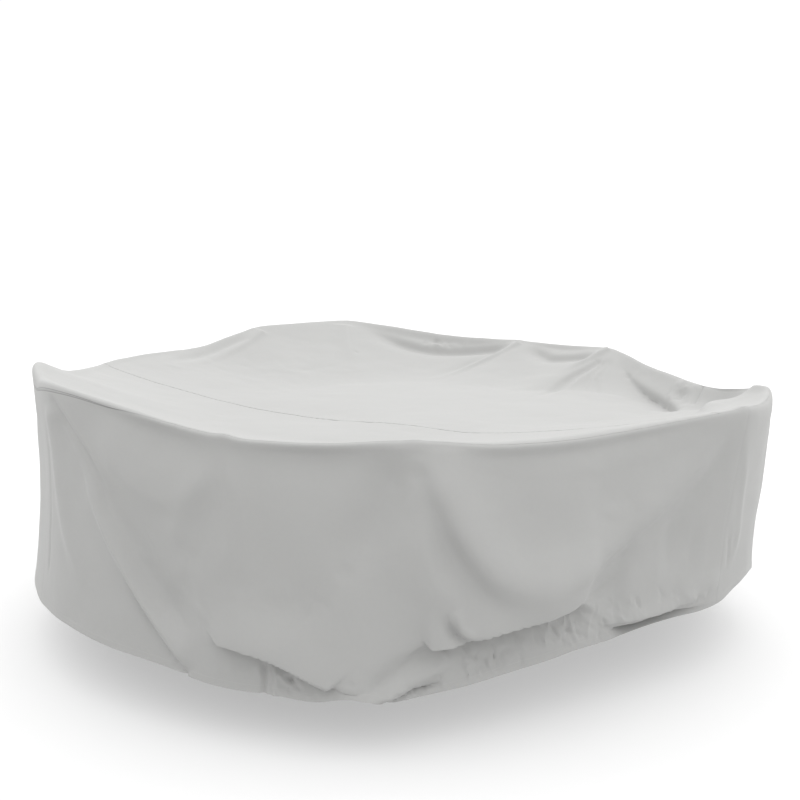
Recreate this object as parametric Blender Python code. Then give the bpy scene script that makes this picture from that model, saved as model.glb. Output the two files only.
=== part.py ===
"""Fitted round cover of coated cloth, hanging in the folds that it takes over a ring of high points.

Frame: metres, +Z up, front towards -Y. The origin is on the underside of the top, at its centre, where
the cloth rests on what it covers. Azimuths are in degrees about +Z, from +X towards +Y, so the front is -90.
Everything is worked out from a section of the cloth at an azimuth, measured by its run: the run is 0 at
the rim, negative inwards over the top, and positive down the skirt.
"""

import math

import bpy
import numpy as np

# ---- Cloth ------------------------------------------------------------------
SHEET = 0.003  # coated cloth, with the turnings of its seams
SEAM_GAP = 0.0003  # between two panels where they are sewn
REST_ABOVE_GROUND = 0.71  # height of the origin above the ground
RIM_ROLL = 0.045  # run on each side of the rim over which the cloth bends over

# ---- Panels and grid --------------------------------------------------------
SIDE_SEAM_LEFT = -149.0  # azimuth
SIDE_SEAM_RIGHT = -37.0  # azimuth
FRONT_COLUMN_STEP = 2.9  # widest column of the grid, in degrees
BACK_COLUMN_STEP = 4.3
# share of the way from the centre to the rim seam, and from that seam down to the hem
TOP_RINGS = (0.0, 0.2, 0.36, 0.5, 0.62, 0.72, 0.8, 0.87, 0.925, 0.965, 1.0)
SKIRT_ROWS = (0.0, 0.03, 0.07, 0.15, 0.25, 0.36, 0.47, 0.58, 0.68, 0.76, 0.83, 0.89, 0.94, 1.0)

NORMAL_ANGLE = 0.2  # degrees to each side, over which the slope of the cloth is measured
NORMAL_RUN = 0.004
WALL_LEAD = (0.8, 0.6, 0.0)  # in plan: a wall along a seam is split from its corner furthest this way

# ---- The rim, a row for each high point and each span between two -----------
MEAN_RADIUS = 1.28  # for run along the rim
HIGH_POINTS = (-139.0, -109.2, -87.1, -37.0, -15.3, 39.0, 61.6, 100.4, 121.0, 157.0, 194.0)  # azimuths
# azimuth, radius, height above the ground
RIM = (
    (-166.0, 1.270, 0.922),
    (-152.0, 1.270, 0.915),
    (-139.0, 1.305, 0.930),
    (-127.7, 1.295, 0.912),
    (-119.5, 1.290, 0.884),
    (-109.2, 1.294, 0.853),
    (-98.0, 1.265, 0.844),
    (-87.1, 1.276, 0.854),
    (-76.8, 1.248, 0.838),
    (-66.0, 1.230, 0.838),
    (-54.0, 1.236, 0.849),
    (-40.0, 1.310, 0.862),
    (-36.7, 1.325, 0.862),
    (-26.0, 1.342, 0.854),
    (-15.3, 1.350, 0.864),
    (-7.0, 1.280, 0.824),
    (3.0, 1.213, 0.801),
    (17.0, 1.200, 0.806),
    (27.0, 1.218, 0.821),
    (39.0, 1.270, 0.853),
    (50.0, 1.245, 0.856),
    (61.6, 1.270, 0.854),
    (74.6, 1.270, 0.866),
    (85.0, 1.295, 0.888),
    (100.4, 1.350, 0.927),
    (111.0, 1.305, 0.926),
    (121.0, 1.290, 0.915),
    (136.0, 1.260, 0.849),
    (150.0, 1.290, 0.833),
    (157.0, 1.300, 0.820),
    (166.0, 1.270, 0.820),
    (175.0, 1.235, 0.838),
    (184.0, 1.240, 0.868),
)
# azimuth, rise and half width of the small point that stands at a high point
HORNS = (
    (194.0, 0.012, 3.5),
    (-15.3, 0.006, 3.0),
    (39.0, 0.006, 3.0),
    (61.6, 0.004, 2.5),
    (100.4, 0.004, 3.0),
    (121.0, 0.005, 3.0),
)

# ---- The top, a row for each change of its slope ----------------------------
# azimuth, radius at which it starts to rise, depth of the steep lip inside the rim, run of that lip
TOP = (
    (-139.0, 0.66, 0.000, 0.08),
    (-98.0, 0.62, 0.000, 0.08),
    (-62.0, 0.49, 0.000, 0.08),
    (-37.0, 0.50, 0.000, 0.08),
    (-15.0, 0.78, 0.012, 0.08),
    (0.0, 0.98, 0.018, 0.09),
    (20.0, 0.96, 0.020, 0.09),
    (32.0, 0.84, 0.012, 0.07),
    (39.0, 0.68, 0.000, 0.06),
    (50.0, 0.66, 0.022, 0.05),
    (61.6, 0.64, 0.002, 0.05),
    (75.0, 0.64, 0.040, 0.06),
    (88.0, 0.64, 0.030, 0.07),
    (100.4, 0.62, 0.002, 0.06),
    (121.0, 0.60, 0.000, 0.06),
    (150.0, 0.54, 0.006, 0.06),
    (178.0, 0.54, 0.012, 0.08),
)
TOP_SLOPE_POWER = 1.25

# ---- Seams ------------------------------------------------------------------
# azimuth and run of the seam between top and skirt
RIM_SEAM = (
    (-165.0, 0.050),
    (-150.0, 0.042),
    (-141.0, 0.024),
    (-132.0, 0.010),
    (-127.0, 0.008),
    (-121.0, -0.012),
    (-110.0, -0.016),
    (-60.0, -0.014),
    (0.0, -0.012),
    (90.0, -0.012),
    (150.0, -0.010),
    (176.0, 0.020),
)
TOP_SEAM = ((-1.180, 0.400), (0.460, -0.570))  # x and y of two points on the straight seam across the top

# ---- The skirt, a row for each section --------------------------------------
# azimuth, hem radius, hem height above the ground, waist (in or out at mid height),
# height of the pouch's lower edge above the ground, how far the pouch hangs out
SKIRT = (
    (-164.0, 1.300, 0.190, -0.016, 0.30, 0.000),
    (-152.0, 1.305, 0.196, -0.014, 0.30, 0.000),
    (-139.0, 1.312, 0.196, -0.010, 0.30, 0.000),
    (-128.0, 1.300, 0.184, -0.006, 0.30, 0.000),
    (-119.0, 1.285, 0.175, -0.004, 0.30, 0.000),
    (-112.0, 1.270, 0.160, 0.000, 0.30, 0.004),
    (-108.0, 1.252, 0.148, 0.000, 0.29, 0.022),
    (-104.5, 1.246, 0.144, 0.000, 0.26, 0.032),
    (-98.5, 1.258, 0.140, 0.000, 0.21, 0.028),
    (-94.0, 1.282, 0.140, 0.000, 0.20, 0.004),
    (-90.0, 1.268, 0.148, 0.000, 0.24, 0.000),
    (-86.5, 1.238, 0.148, 0.000, 0.30, 0.020),
    (-82.0, 1.208, 0.150, 0.000, 0.297, 0.044),
    (-74.0, 1.158, 0.158, 0.000, 0.325, 0.072),
    (-68.0, 1.142, 0.168, 0.000, 0.345, 0.080),
    (-61.0, 1.135, 0.178, 0.000, 0.41, 0.074),
    (-54.0, 1.150, 0.190, 0.000, 0.48, 0.056),
    (-48.0, 1.172, 0.203, 0.000, 0.56, 0.036),
    (-37.0, 1.264, 0.240, -0.006, 0.66, 0.006),
    (-26.0, 1.305, 0.238, -0.008, 0.40, 0.000),
    (-15.0, 1.312, 0.212, -0.010, 0.40, 0.000),
    (5.0, 1.240, 0.180, 0.004, 0.32, 0.020),
    (25.0, 1.225, 0.180, 0.004, 0.32, 0.020),
    (40.0, 1.265, 0.185, -0.006, 0.32, 0.000),
    (62.0, 1.265, 0.185, -0.006, 0.32, 0.000),
    (80.0, 1.240, 0.180, 0.006, 0.32, 0.026),
    (100.0, 1.320, 0.190, -0.008, 0.32, 0.000),
    (121.0, 1.285, 0.190, -0.008, 0.32, 0.000),
    (140.0, 1.245, 0.180, 0.004, 0.30, 0.026),
    (158.0, 1.285, 0.185, 0.000, 0.30, 0.006),
    (178.0, 1.262, 0.185, 0.000, 0.30, 0.010),
)
POUCH_UNDERCUT = 0.55  # share of the pouch that is lost straight below its lower edge
POUCH_TUCK = 0.05  # height over which it is lost
POUCH_FULLNESS = 0.8  # power of its fading upwards: smaller lets it fade sooner

# ---- Folds of the skirt -----------------------------------------------------
FOLD_POINTS = 9  # on the path of a fold
FOLD_FADE = 0.7  # power of a fold's fading towards its ends: smaller keeps it high for longer
# azimuth and run at the start, middle and end, height of the fold, half width
SKIRT_FOLDS = (
    # from the left high point down to the right
    (-139.0, 0.05, -133.0, 0.17, -127.0, 0.30, -0.008, 0.035),
    (-128.5, 0.38, -123.2, 0.55, -115.8, 0.70, -0.014, 0.035),
    (-132.0, 0.36, -127.5, 0.52, -120.0, 0.70, 0.012, 0.050),
    (-121.0, 0.42, -115.8, 0.53, -109.0, 0.58, 0.012, 0.045),
    # from the two front high points
    (-109.2, 0.03, -111.2, 0.17, -114.5, 0.36, 0.012, 0.050),
    (-88.2, 0.03, -92.0, 0.22, -97.0, 0.50, 0.014, 0.070),
    (-87.0, 0.02, -83.0, 0.24, -74.0, 0.44, 0.018, 0.045),
    (-83.0, 0.08, -78.0, 0.26, -69.0, 0.40, -0.016, 0.060),
    # from the right high point down to the left
    (-38.0, 0.05, -45.8, 0.26, -60.0, 0.44, 0.014, 0.070),
    (-36.0, 0.05, -32.5, 0.28, -31.5, 0.58, 0.012, 0.035),
    # round the back, one from each high point towards the spans beside it
    (40.0, 0.04, 36.0, 0.25, 26.0, 0.50, 0.014, 0.060),
    (62.0, 0.04, 67.0, 0.26, 76.0, 0.48, 0.014, 0.060),
    (100.0, 0.04, 95.0, 0.27, 86.0, 0.50, 0.014, 0.060),
    (121.0, 0.04, 127.0, 0.27, 137.0, 0.50, 0.014, 0.060),
    (157.0, 0.04, 150.0, 0.25, 144.0, 0.46, 0.010, 0.060),
    (-15.0, 0.04, -9.0, 0.25, 0.0, 0.46, 0.012, 0.060),
)

# ---- Folds of the top -------------------------------------------------------
# azimuth and radius at the start and at the end, height of the fold, half width
TOP_FOLDS = (
    # the sag in front of the centre
    (168.0, 0.62, -82.0, 0.42, -0.026, 0.200),
    # from the high points at the back and the right
    (61.6, 1.22, 77.0, 0.74, 0.010, 0.040),
    (36.5, 1.14, 22.0, 0.58, -0.014, 0.060),
    (37.5, 1.22, 42.0, 0.70, 0.010, 0.060),
    (101.0, 1.28, 102.0, 0.80, 0.010, 0.060),
    (120.8, 1.24, 140.0, 1.02, 0.008, 0.050),
)


def periodic(rows, column):
    """A smooth closed curve of one column against azimuth, through every row of a table."""
    stations = np.array([row[0] for row in rows])
    values = np.array([row[column] for row in rows])
    stations = np.concatenate([stations[-2:] - 360.0, stations, stations[:2] + 360.0])
    values = np.concatenate([values[-2:], values, values[:2]])
    widths = np.diff(stations)
    slopes = np.diff(values) / widths
    tangents = np.empty(len(values))
    tangents[1:-1] = (slopes[:-1] * widths[1:] + slopes[1:] * widths[:-1]) / (widths[1:] + widths[:-1])
    tangents[0] = slopes[0]
    tangents[-1] = slopes[-1]

    def curve(azimuth):
        turned = (azimuth - rows[0][0]) % 360.0 + rows[0][0]
        at = np.clip(np.searchsorted(stations, turned, side="right") - 1, 0, len(widths) - 1)
        s = (turned - stations[at]) / widths[at]
        return (
            (2 * s**3 - 3 * s**2 + 1) * values[at]
            + (s**3 - 2 * s**2 + s) * widths[at] * tangents[at]
            + (3 * s**2 - 2 * s**3) * values[at + 1]
            + (s**3 - s**2) * widths[at] * tangents[at + 1]
        )

    return curve


rolled_radius = periodic(RIM, 1)
plain_rim_height = periodic(RIM, 2)
rest_radius = periodic(TOP, 1)
lip_depth = periodic(TOP, 2)
lip_run = periodic(TOP, 3)
seam_run = periodic(RIM_SEAM, 1)
hem_radius = periodic(SKIRT, 1)
hem_height = periodic(SKIRT, 2)
waist = periodic(SKIRT, 3)
pouch_height = periodic(SKIRT, 4)
pouch_depth = periodic(SKIRT, 5)


def smooth_step(x):
    """0 up to 0, 1 from 1 on, and a smooth rise between."""
    x = np.clip(x, 0.0, 1.0)
    return x * x * (3.0 - 2.0 * x)


def rim_radius(azimuth):
    """Radius of the corner that the roll cuts off: the roll itself passes through the rim table's radius."""
    return rolled_radius(azimuth) + RIM_ROLL / 4.0


def rim_height(azimuth):
    """Height of that corner above the ground, with the small point at each high point."""
    height = plain_rim_height(azimuth) + RIM_ROLL / 4.0
    for at, rise, half_width in HORNS:
        apart = (azimuth - at + 180.0) % 360.0 - 180.0
        height = height + rise * np.exp(-((apart / half_width) ** 2))
    return height


def top_section(azimuth, run):
    """Radius and height above the ground of the top, at a run inside the rim."""
    rim = rim_radius(azimuth)
    radius = rim + run
    foot = rest_radius(azimuth)
    share = np.clip((radius - foot) / (rim - foot), 0.0, 1.0)
    rise = rim_height(azimuth) - REST_ABOVE_GROUND - SHEET
    lip = lip_depth(azimuth) * smooth_step(-run / lip_run(azimuth)) * share
    return radius, REST_ABOVE_GROUND + SHEET + rise * share**TOP_SLOPE_POWER - lip


def skirt_drop(azimuth):
    """Height from the rim down to the hem."""
    return rim_height(azimuth) - hem_height(azimuth)


def skirt_section(azimuth, run):
    """Radius and height above the ground of the skirt, at a run below the rim."""
    share = run / skirt_drop(azimuth)
    height = rim_height(azimuth) - run
    straight = rim_radius(azimuth) * (1.0 - share) + hem_radius(azimuth) * share
    above = (height - pouch_height(azimuth)) / (rim_height(azimuth) - pouch_height(azimuth))
    below = (pouch_height(azimuth) - height) / (pouch_height(azimuth) - hem_height(azimuth))
    tuck = POUCH_UNDERCUT * smooth_step((pouch_height(azimuth) - height) / POUCH_TUCK)
    bulge = 1.0 - smooth_step(above) ** POUCH_FULLNESS
    tucked = (1.0 - tuck) * (1.0 - np.clip(below, 0.0, 1.0))
    pouch = np.where(above >= 0.0, bulge, tucked)
    return straight + 4.0 * waist(azimuth) * share * (1.0 - share) + pouch_depth(azimuth) * pouch, height


def section(azimuth, run):
    """Radius and height above the ground of the cloth, bending over the rim in a smooth roll."""
    top_radius, top_height = top_section(azimuth, np.minimum(run, 0.0))
    side_radius, side_height = skirt_section(azimuth, np.maximum(run, 0.0))
    share = np.clip((run + RIM_ROLL) / (2.0 * RIM_ROLL), 0.0, 1.0)
    inner = top_section(azimuth, np.full_like(azimuth, -RIM_ROLL))
    outer = skirt_section(azimuth, np.full_like(azimuth, RIM_ROLL))
    corner = (rim_radius(azimuth), rim_height(azimuth))
    rolled = [
        (1 - share) ** 2 * inner[axis] + 2 * share * (1 - share) * corner[axis] + share**2 * outer[axis]
        for axis in (0, 1)
    ]
    on_top = run <= -RIM_ROLL
    on_skirt = run >= RIM_ROLL
    radius = np.where(on_top, top_radius, np.where(on_skirt, side_radius, rolled[0]))
    height = np.where(on_top, top_height, np.where(on_skirt, side_height, rolled[1]))
    return radius, height


def bend_through(start, middle, end):
    """Points on the smooth curve through three points."""
    s = np.linspace(0.0, 1.0, FOLD_POINTS)[:, None]
    start, middle, end = (np.array(point) for point in (start, middle, end))
    control = 2.0 * middle - (start + end) / 2.0
    return (1 - s) ** 2 * start + 2 * s * (1 - s) * control + s**2 * end


def fold(along, down, path, height, half_width):
    """A soft ridge, or a trough where its height is negative, which fades out at both ends of its path."""
    nearest = np.full(along.shape, np.inf)
    at_share = np.zeros(along.shape)
    pieces = len(path) - 1
    for number, (a, b) in enumerate(zip(path[:-1], path[1:])):
        step = b - a
        share = np.clip(((along - a[0]) * step[0] + (down - a[1]) * step[1]) / (step @ step), 0.0, 1.0)
        away = np.hypot(along - a[0] - share * step[0], down - a[1] - share * step[1])
        closer = away < nearest
        nearest = np.where(closer, away, nearest)
        at_share = np.where(closer, (number + share) / pieces, at_share)
    fade = np.sin(np.pi * at_share.clip(0.0, 1.0)) ** FOLD_FADE
    return height * fade * np.exp(-((nearest / half_width) ** 2))


def skirt_relief(azimuth, run):
    """How far the folds of the skirt stand out from its plain section."""
    turned = (azimuth + 270.0) % 360.0 - 270.0
    along = np.radians(turned) * MEAN_RADIUS
    relief = np.zeros(along.shape)
    for a0, r0, a1, r1, a2, r2, height, half_width in SKIRT_FOLDS:
        corners = [(math.radians(a) * MEAN_RADIUS, r) for a, r in ((a0, r0), (a1, r1), (a2, r2))]
        relief += fold(along, run, bend_through(*corners), height, half_width)
    return relief * smooth_step(run / RIM_ROLL)


def top_relief(azimuth, radius, run):
    """How far the folds of the top stand up from its plain section."""
    angle = np.radians(azimuth)
    x, y = radius * np.cos(angle), radius * np.sin(angle)
    relief = np.zeros(x.shape)
    for a0, r0, a1, r1, height, half_width in TOP_FOLDS:
        ends = [(math.radians(a), r) for a, r in ((a0, r0), (a1, r1))]
        path = np.array([(r * math.cos(a), r * math.sin(a)) for a, r in ends])
        relief += fold(x, y, path, height, half_width)
    return relief * smooth_step(-run / RIM_ROLL)


def cloth(azimuth, run):
    """Points of the cloth's outer face, in the part's frame."""
    azimuth, run = np.broadcast_arrays(np.asarray(azimuth, float), np.asarray(run, float))
    radius, height = section(azimuth, run)
    height = height + top_relief(azimuth, radius, run)
    radius = radius + skirt_relief(azimuth, run)
    angle = np.radians(azimuth)
    return np.stack(
        [radius * np.cos(angle), radius * np.sin(angle), height - REST_ABOVE_GROUND], axis=-1
    )


def outward(azimuth, run):
    """Unit normals of the cloth, pointing up over the top and out from the skirt."""
    across = cloth(azimuth + NORMAL_ANGLE, run) - cloth(azimuth - NORMAL_ANGLE, run)
    down = cloth(azimuth, run + NORMAL_RUN) - cloth(azimuth, run - NORMAL_RUN)
    normal = np.cross(down, across)
    length = np.linalg.norm(normal, axis=-1, keepdims=True)
    return normal / np.maximum(length, 1e-12)


def material(name, grey, roughness):
    """A plain cloth finish."""
    finish = bpy.data.materials.new(name)
    finish.use_nodes = True
    shader = finish.node_tree.nodes["Principled BSDF"]
    shader.inputs["Base Color"].default_value = (grey, grey, grey * 0.99, 1.0)
    shader.inputs["Roughness"].default_value = roughness
    shader.inputs["Metallic"].default_value = 0.0
    return finish


def sheet_object(name, outer, inner, faces, finish):
    """A closed sheet: triangles over its outer points, the same turned round over its inner ones, and walls.

    Each wall is split from the same corner as the wall of the panel sewn to it, so that the two stay parted.
    """
    count = len(outer)
    triangles = [(face[0], b, c) for face in faces for b, c in zip(face[1:-1], face[2:])]
    sides = {(a, b) for face in triangles for a, b in zip(face, face[1:] + face[:1])}
    lead = outer @ np.array(WALL_LEAD)
    walls = []
    for a, b in sorted(sides):
        if (b, a) in sides:
            continue
        if lead[a] > lead[b]:
            walls += [(b, a, b + count), (a, a + count, b + count)]
        else:
            walls += [(b, a, a + count), (b, a + count, b + count)]
    turned = [(c + count, b + count, a + count) for a, b, c in triangles]
    mesh = bpy.data.meshes.new(name)
    mesh.from_pydata(np.concatenate([outer, inner]).tolist(), [], triangles + turned + walls)
    mesh.validate()
    mesh.materials.append(finish)
    mesh.shade_smooth()
    mesh.set_sharp_from_angle(angle=math.radians(40.0))
    obj = bpy.data.objects.new(name, mesh)
    bpy.context.collection.objects.link(obj)
    return obj


def columns_of_grid(start, end, widest):
    """Azimuths of the grid's columns from one side seam to the next, with a column on each high point."""
    marks = [start] + [a for a in HIGH_POINTS if start < a < end] + [end]
    azimuths = [start]
    for a, b in zip(marks[:-1], marks[1:]):
        azimuths += list(np.linspace(a, b, math.ceil((b - a) / widest) + 1)[1:])
    return np.array(azimuths)


def skirt_panel(name, start, end, widest, finish):
    """A panel of the skirt between two side seams."""
    half_gap_angle = math.degrees(SEAM_GAP / 2.0 / MEAN_RADIUS)
    azimuths = columns_of_grid(start, end, widest)
    azimuths[0] += half_gap_angle
    azimuths[-1] -= half_gap_angle
    rows = len(SKIRT_ROWS)
    grid_azimuth = np.repeat(azimuths, rows)
    top_run = seam_run(grid_azimuth) + SEAM_GAP / 2.0
    share = np.tile(np.array(SKIRT_ROWS), len(azimuths))
    grid_run = top_run + share * (skirt_drop(grid_azimuth) - top_run)
    outer = cloth(grid_azimuth, grid_run)
    inner = outer - SHEET * outward(grid_azimuth, grid_run)
    here = [column * rows + row for column in range(len(azimuths) - 1) for row in range(rows - 1)]
    faces = [(at, at + 1, at + rows + 1, at + rows) for at in here]
    return sheet_object(name, outer, inner, faces, finish)


def top_grid():
    """The whole top as one open surface: its points, their normals and its faces."""
    azimuths = np.concatenate([
        columns_of_grid(SIDE_SEAM_LEFT, SIDE_SEAM_RIGHT, FRONT_COLUMN_STEP)[:-1],
        columns_of_grid(SIDE_SEAM_RIGHT, SIDE_SEAM_LEFT + 360.0, BACK_COLUMN_STEP)[:-1],
    ])
    columns = len(azimuths)
    rings = len(TOP_RINGS) - 1
    grid_azimuth = np.repeat(azimuths, rings)
    rim = rim_radius(grid_azimuth)
    share = np.tile(np.array(TOP_RINGS[1:]), columns)
    grid_run = share * (rim + seam_run(grid_azimuth) - SEAM_GAP / 2.0) - rim
    points = np.vstack([[0.0, 0.0, SHEET], cloth(grid_azimuth, grid_run)])
    normals = np.vstack([[0.0, 0.0, 1.0], outward(grid_azimuth, grid_run)])
    faces = []
    for column in range(columns):
        here = 1 + column * rings
        beside = 1 + (column + 1) % columns * rings
        faces.append((0, here, beside))
        faces += [(here + r, here + r + 1, beside + r + 1, beside + r) for r in range(rings - 1)]
    return points, normals, faces


def in_front_of_top_seam(points):
    """Distance in front of the straight seam between the two top panels, in plan, and negative behind it."""
    (left_x, left_y), (right_x, right_y) = TOP_SEAM
    along = (right_x - left_x, right_y - left_y)
    across = (points[:, 0] - left_x) * along[1] - (points[:, 1] - left_y) * along[0]
    return across / math.hypot(*along)


def cut(points, normals, faces, kept):
    """The part of an open surface where a value given at its points is positive, cut where the value is 0."""
    points, normals = list(points), list(normals)
    crossings = {}

    def crossing(a, b):
        key = (min(a, b), max(a, b))
        if key not in crossings:
            share = kept[key[0]] / (kept[key[0]] - kept[key[1]])
            crossings[key] = len(points)
            points.append(points[key[0]] * (1.0 - share) + points[key[1]] * share)
            normal = normals[key[0]] * (1.0 - share) + normals[key[1]] * share
            normals.append(normal / np.linalg.norm(normal))
        return crossings[key]

    trimmed = []
    for face in faces:
        corners = []
        for a, b in zip(face, face[1:] + face[:1]):
            if kept[a] > 0.0:
                corners.append(a)
            if (kept[a] > 0.0) != (kept[b] > 0.0):
                corners.append(crossing(a, b))
        if len(corners) > 2:
            trimmed.append(corners)
    used = sorted({corner for face in trimmed for corner in face})
    number = {corner: index for index, corner in enumerate(used)}
    return (
        np.array([points[corner] for corner in used]),
        np.array([normals[corner] for corner in used]),
        [tuple(number[corner] for corner in face) for face in trimmed],
    )


def top_panel(name, side, finish):
    """The part of the top on one side of its seam: side is 1 in front of it and -1 behind."""
    points, normals, faces = top_grid()
    kept = side * in_front_of_top_seam(points) - SEAM_GAP / 2.0
    outer, out, faces = cut(points, normals, faces, kept)
    return sheet_object(name, outer, outer - SHEET * out, faces, finish)


def main():
    for old in list(bpy.data.objects):
        bpy.data.objects.remove(old)
    grey = material("light_grey_cloth", 0.62, 0.8)
    top_panel("top_main", -1, grey)
    top_panel("top_front", 1, grey)
    skirt_panel("skirt_front", SIDE_SEAM_LEFT, SIDE_SEAM_RIGHT, FRONT_COLUMN_STEP, grey)
    skirt_panel("skirt_back", SIDE_SEAM_RIGHT, SIDE_SEAM_LEFT + 360.0, BACK_COLUMN_STEP, grey)


if __name__ == "__main__":
    main()
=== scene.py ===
"""Fitted round cover of light grey coated cloth, draped over a ring of high points.

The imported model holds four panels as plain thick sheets. Each is replaced here by a fine, thin sheet of a
later draft of the same drape, with its creases, laps, hem and stitching.

Frame: metres, +Z up, front towards -Y, origin on the underside of the top at its centre. Azimuths are degrees
about +Z from +X towards +Y, so the front is -90. A point of the cloth is given by its azimuth and its run:
0 at the rim, negative inwards over the top, positive down the skirt.
"""

import logging
import math
from dataclasses import dataclass
from enum import Enum
from typing import Sequence

import bpy
import numpy as np
from mathutils import Matrix

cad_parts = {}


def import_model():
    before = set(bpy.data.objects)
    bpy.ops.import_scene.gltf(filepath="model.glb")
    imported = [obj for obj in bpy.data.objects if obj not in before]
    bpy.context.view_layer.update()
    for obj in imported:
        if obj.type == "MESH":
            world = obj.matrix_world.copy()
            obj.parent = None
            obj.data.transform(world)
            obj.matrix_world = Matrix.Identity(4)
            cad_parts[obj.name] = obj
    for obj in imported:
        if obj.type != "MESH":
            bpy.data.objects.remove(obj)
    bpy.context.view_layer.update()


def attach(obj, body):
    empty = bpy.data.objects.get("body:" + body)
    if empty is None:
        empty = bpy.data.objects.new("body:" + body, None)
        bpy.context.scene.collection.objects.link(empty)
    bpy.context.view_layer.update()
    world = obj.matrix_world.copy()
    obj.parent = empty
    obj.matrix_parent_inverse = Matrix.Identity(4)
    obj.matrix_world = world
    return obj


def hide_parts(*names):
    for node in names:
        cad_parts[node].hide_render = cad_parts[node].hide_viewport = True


Array = np.ndarray
Number = float | int
Pair = tuple[float, float]
Quad = tuple[int, ...]

LOG = logging.getLogger("cover")

GROUND = -0.71  # height of the ground
MEAN_RADIUS = 1.28  # for lengths along the rim
SHEET = 0.0015  # thickness of the cloth
REST = 0.003  # height of the outer face where the top lies flat
LAP = 0.006  # how far one panel laps over the next
UNDER_LAP = 0.0024  # how far the edge that is lapped over lies under the drape
SINK_LENGTH = 0.010  # length over which it sinks to that
SIDE_SEAM_LEFT = -149.0  # azimuth
SIDE_SEAM_RIGHT = -37.0  # azimuth
FULL_TURN = 360.0
COUNTED_FROM = -270.0  # azimuth from which the skirt's creases are counted round, so they are cut off at 90
FAR_FROM_SEAM = 1.0  # mark of a point that no seam or stitching is near
NEVER_ZERO = 1e-12  # least that is divided by


class Hang(Enum):
    """How a panel is held."""

    TOP = "stretched"
    SKIRT = "hung"


class Flank(Enum):
    """The shape of a crease from its crest down."""

    SOFT = "soft"
    CRISP = "crisp"


def smooth_step(x: Array) -> Array:
    """A smooth rise from 0 at 0 to 1 at 1."""
    x = np.clip(x, 0.0, 1.0)
    return x * x * (3.0 - 2.0 * x)


def along_rim(azimuth: Array | float) -> Array | float:
    """Length along the rim, in metres, at an azimuth."""
    return np.radians(azimuth) * MEAN_RADIUS


def in_plan(azimuth: Array | float, radius: Array | float) -> tuple[Array, Array]:
    """Plan coordinates of a point given by azimuth and radius."""
    return radius * np.cos(np.radians(azimuth)), radius * np.sin(np.radians(azimuth))


class Round:
    """A smooth closed curve of one value against azimuth, through every row of a list."""

    def __init__(self, rows: Sequence[tuple[float, ...]], column: int) -> None:
        """Fits the curve.

        Args:
            rows: The rows, each starting with its azimuth, in rising order.
            column: Which entry of a row is the value.
        """
        self.first = rows[0][0]
        stations = np.array([row[0] for row in rows])
        values = np.array([row[column] for row in rows])
        self.stations = np.concatenate([stations[-2:] - FULL_TURN, stations, stations[:2] + FULL_TURN])
        self.values = np.concatenate([values[-2:], values, values[:2]])
        self.widths = np.diff(self.stations)
        slopes = np.diff(self.values) / self.widths
        before, after = self.widths[:-1], self.widths[1:]
        inner = (slopes[:-1] * after + slopes[1:] * before) / (before + after)
        self.tangents = np.concatenate([slopes[:1], inner, slopes[-1:]])

    def __call__(self, azimuth: Array) -> Array:
        """Value of the curve.

        Args:
            azimuth: Where it is wanted.

        Returns:
            The value at each azimuth.
        """
        turned = (azimuth - self.first) % FULL_TURN + self.first
        at = np.clip(np.searchsorted(self.stations, turned, side="right") - 1, 0, len(self.widths) - 1)
        width = self.widths[at]
        s = (turned - self.stations[at]) / width
        return (
            (2 * s**3 - 3 * s**2 + 1) * self.values[at]
            + (s**3 - 2 * s**2 + s) * width * self.tangents[at]
            + (3 * s**2 - 2 * s**3) * self.values[at + 1]
            + (s**3 - s**2) * width * self.tangents[at + 1]
        )


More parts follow.
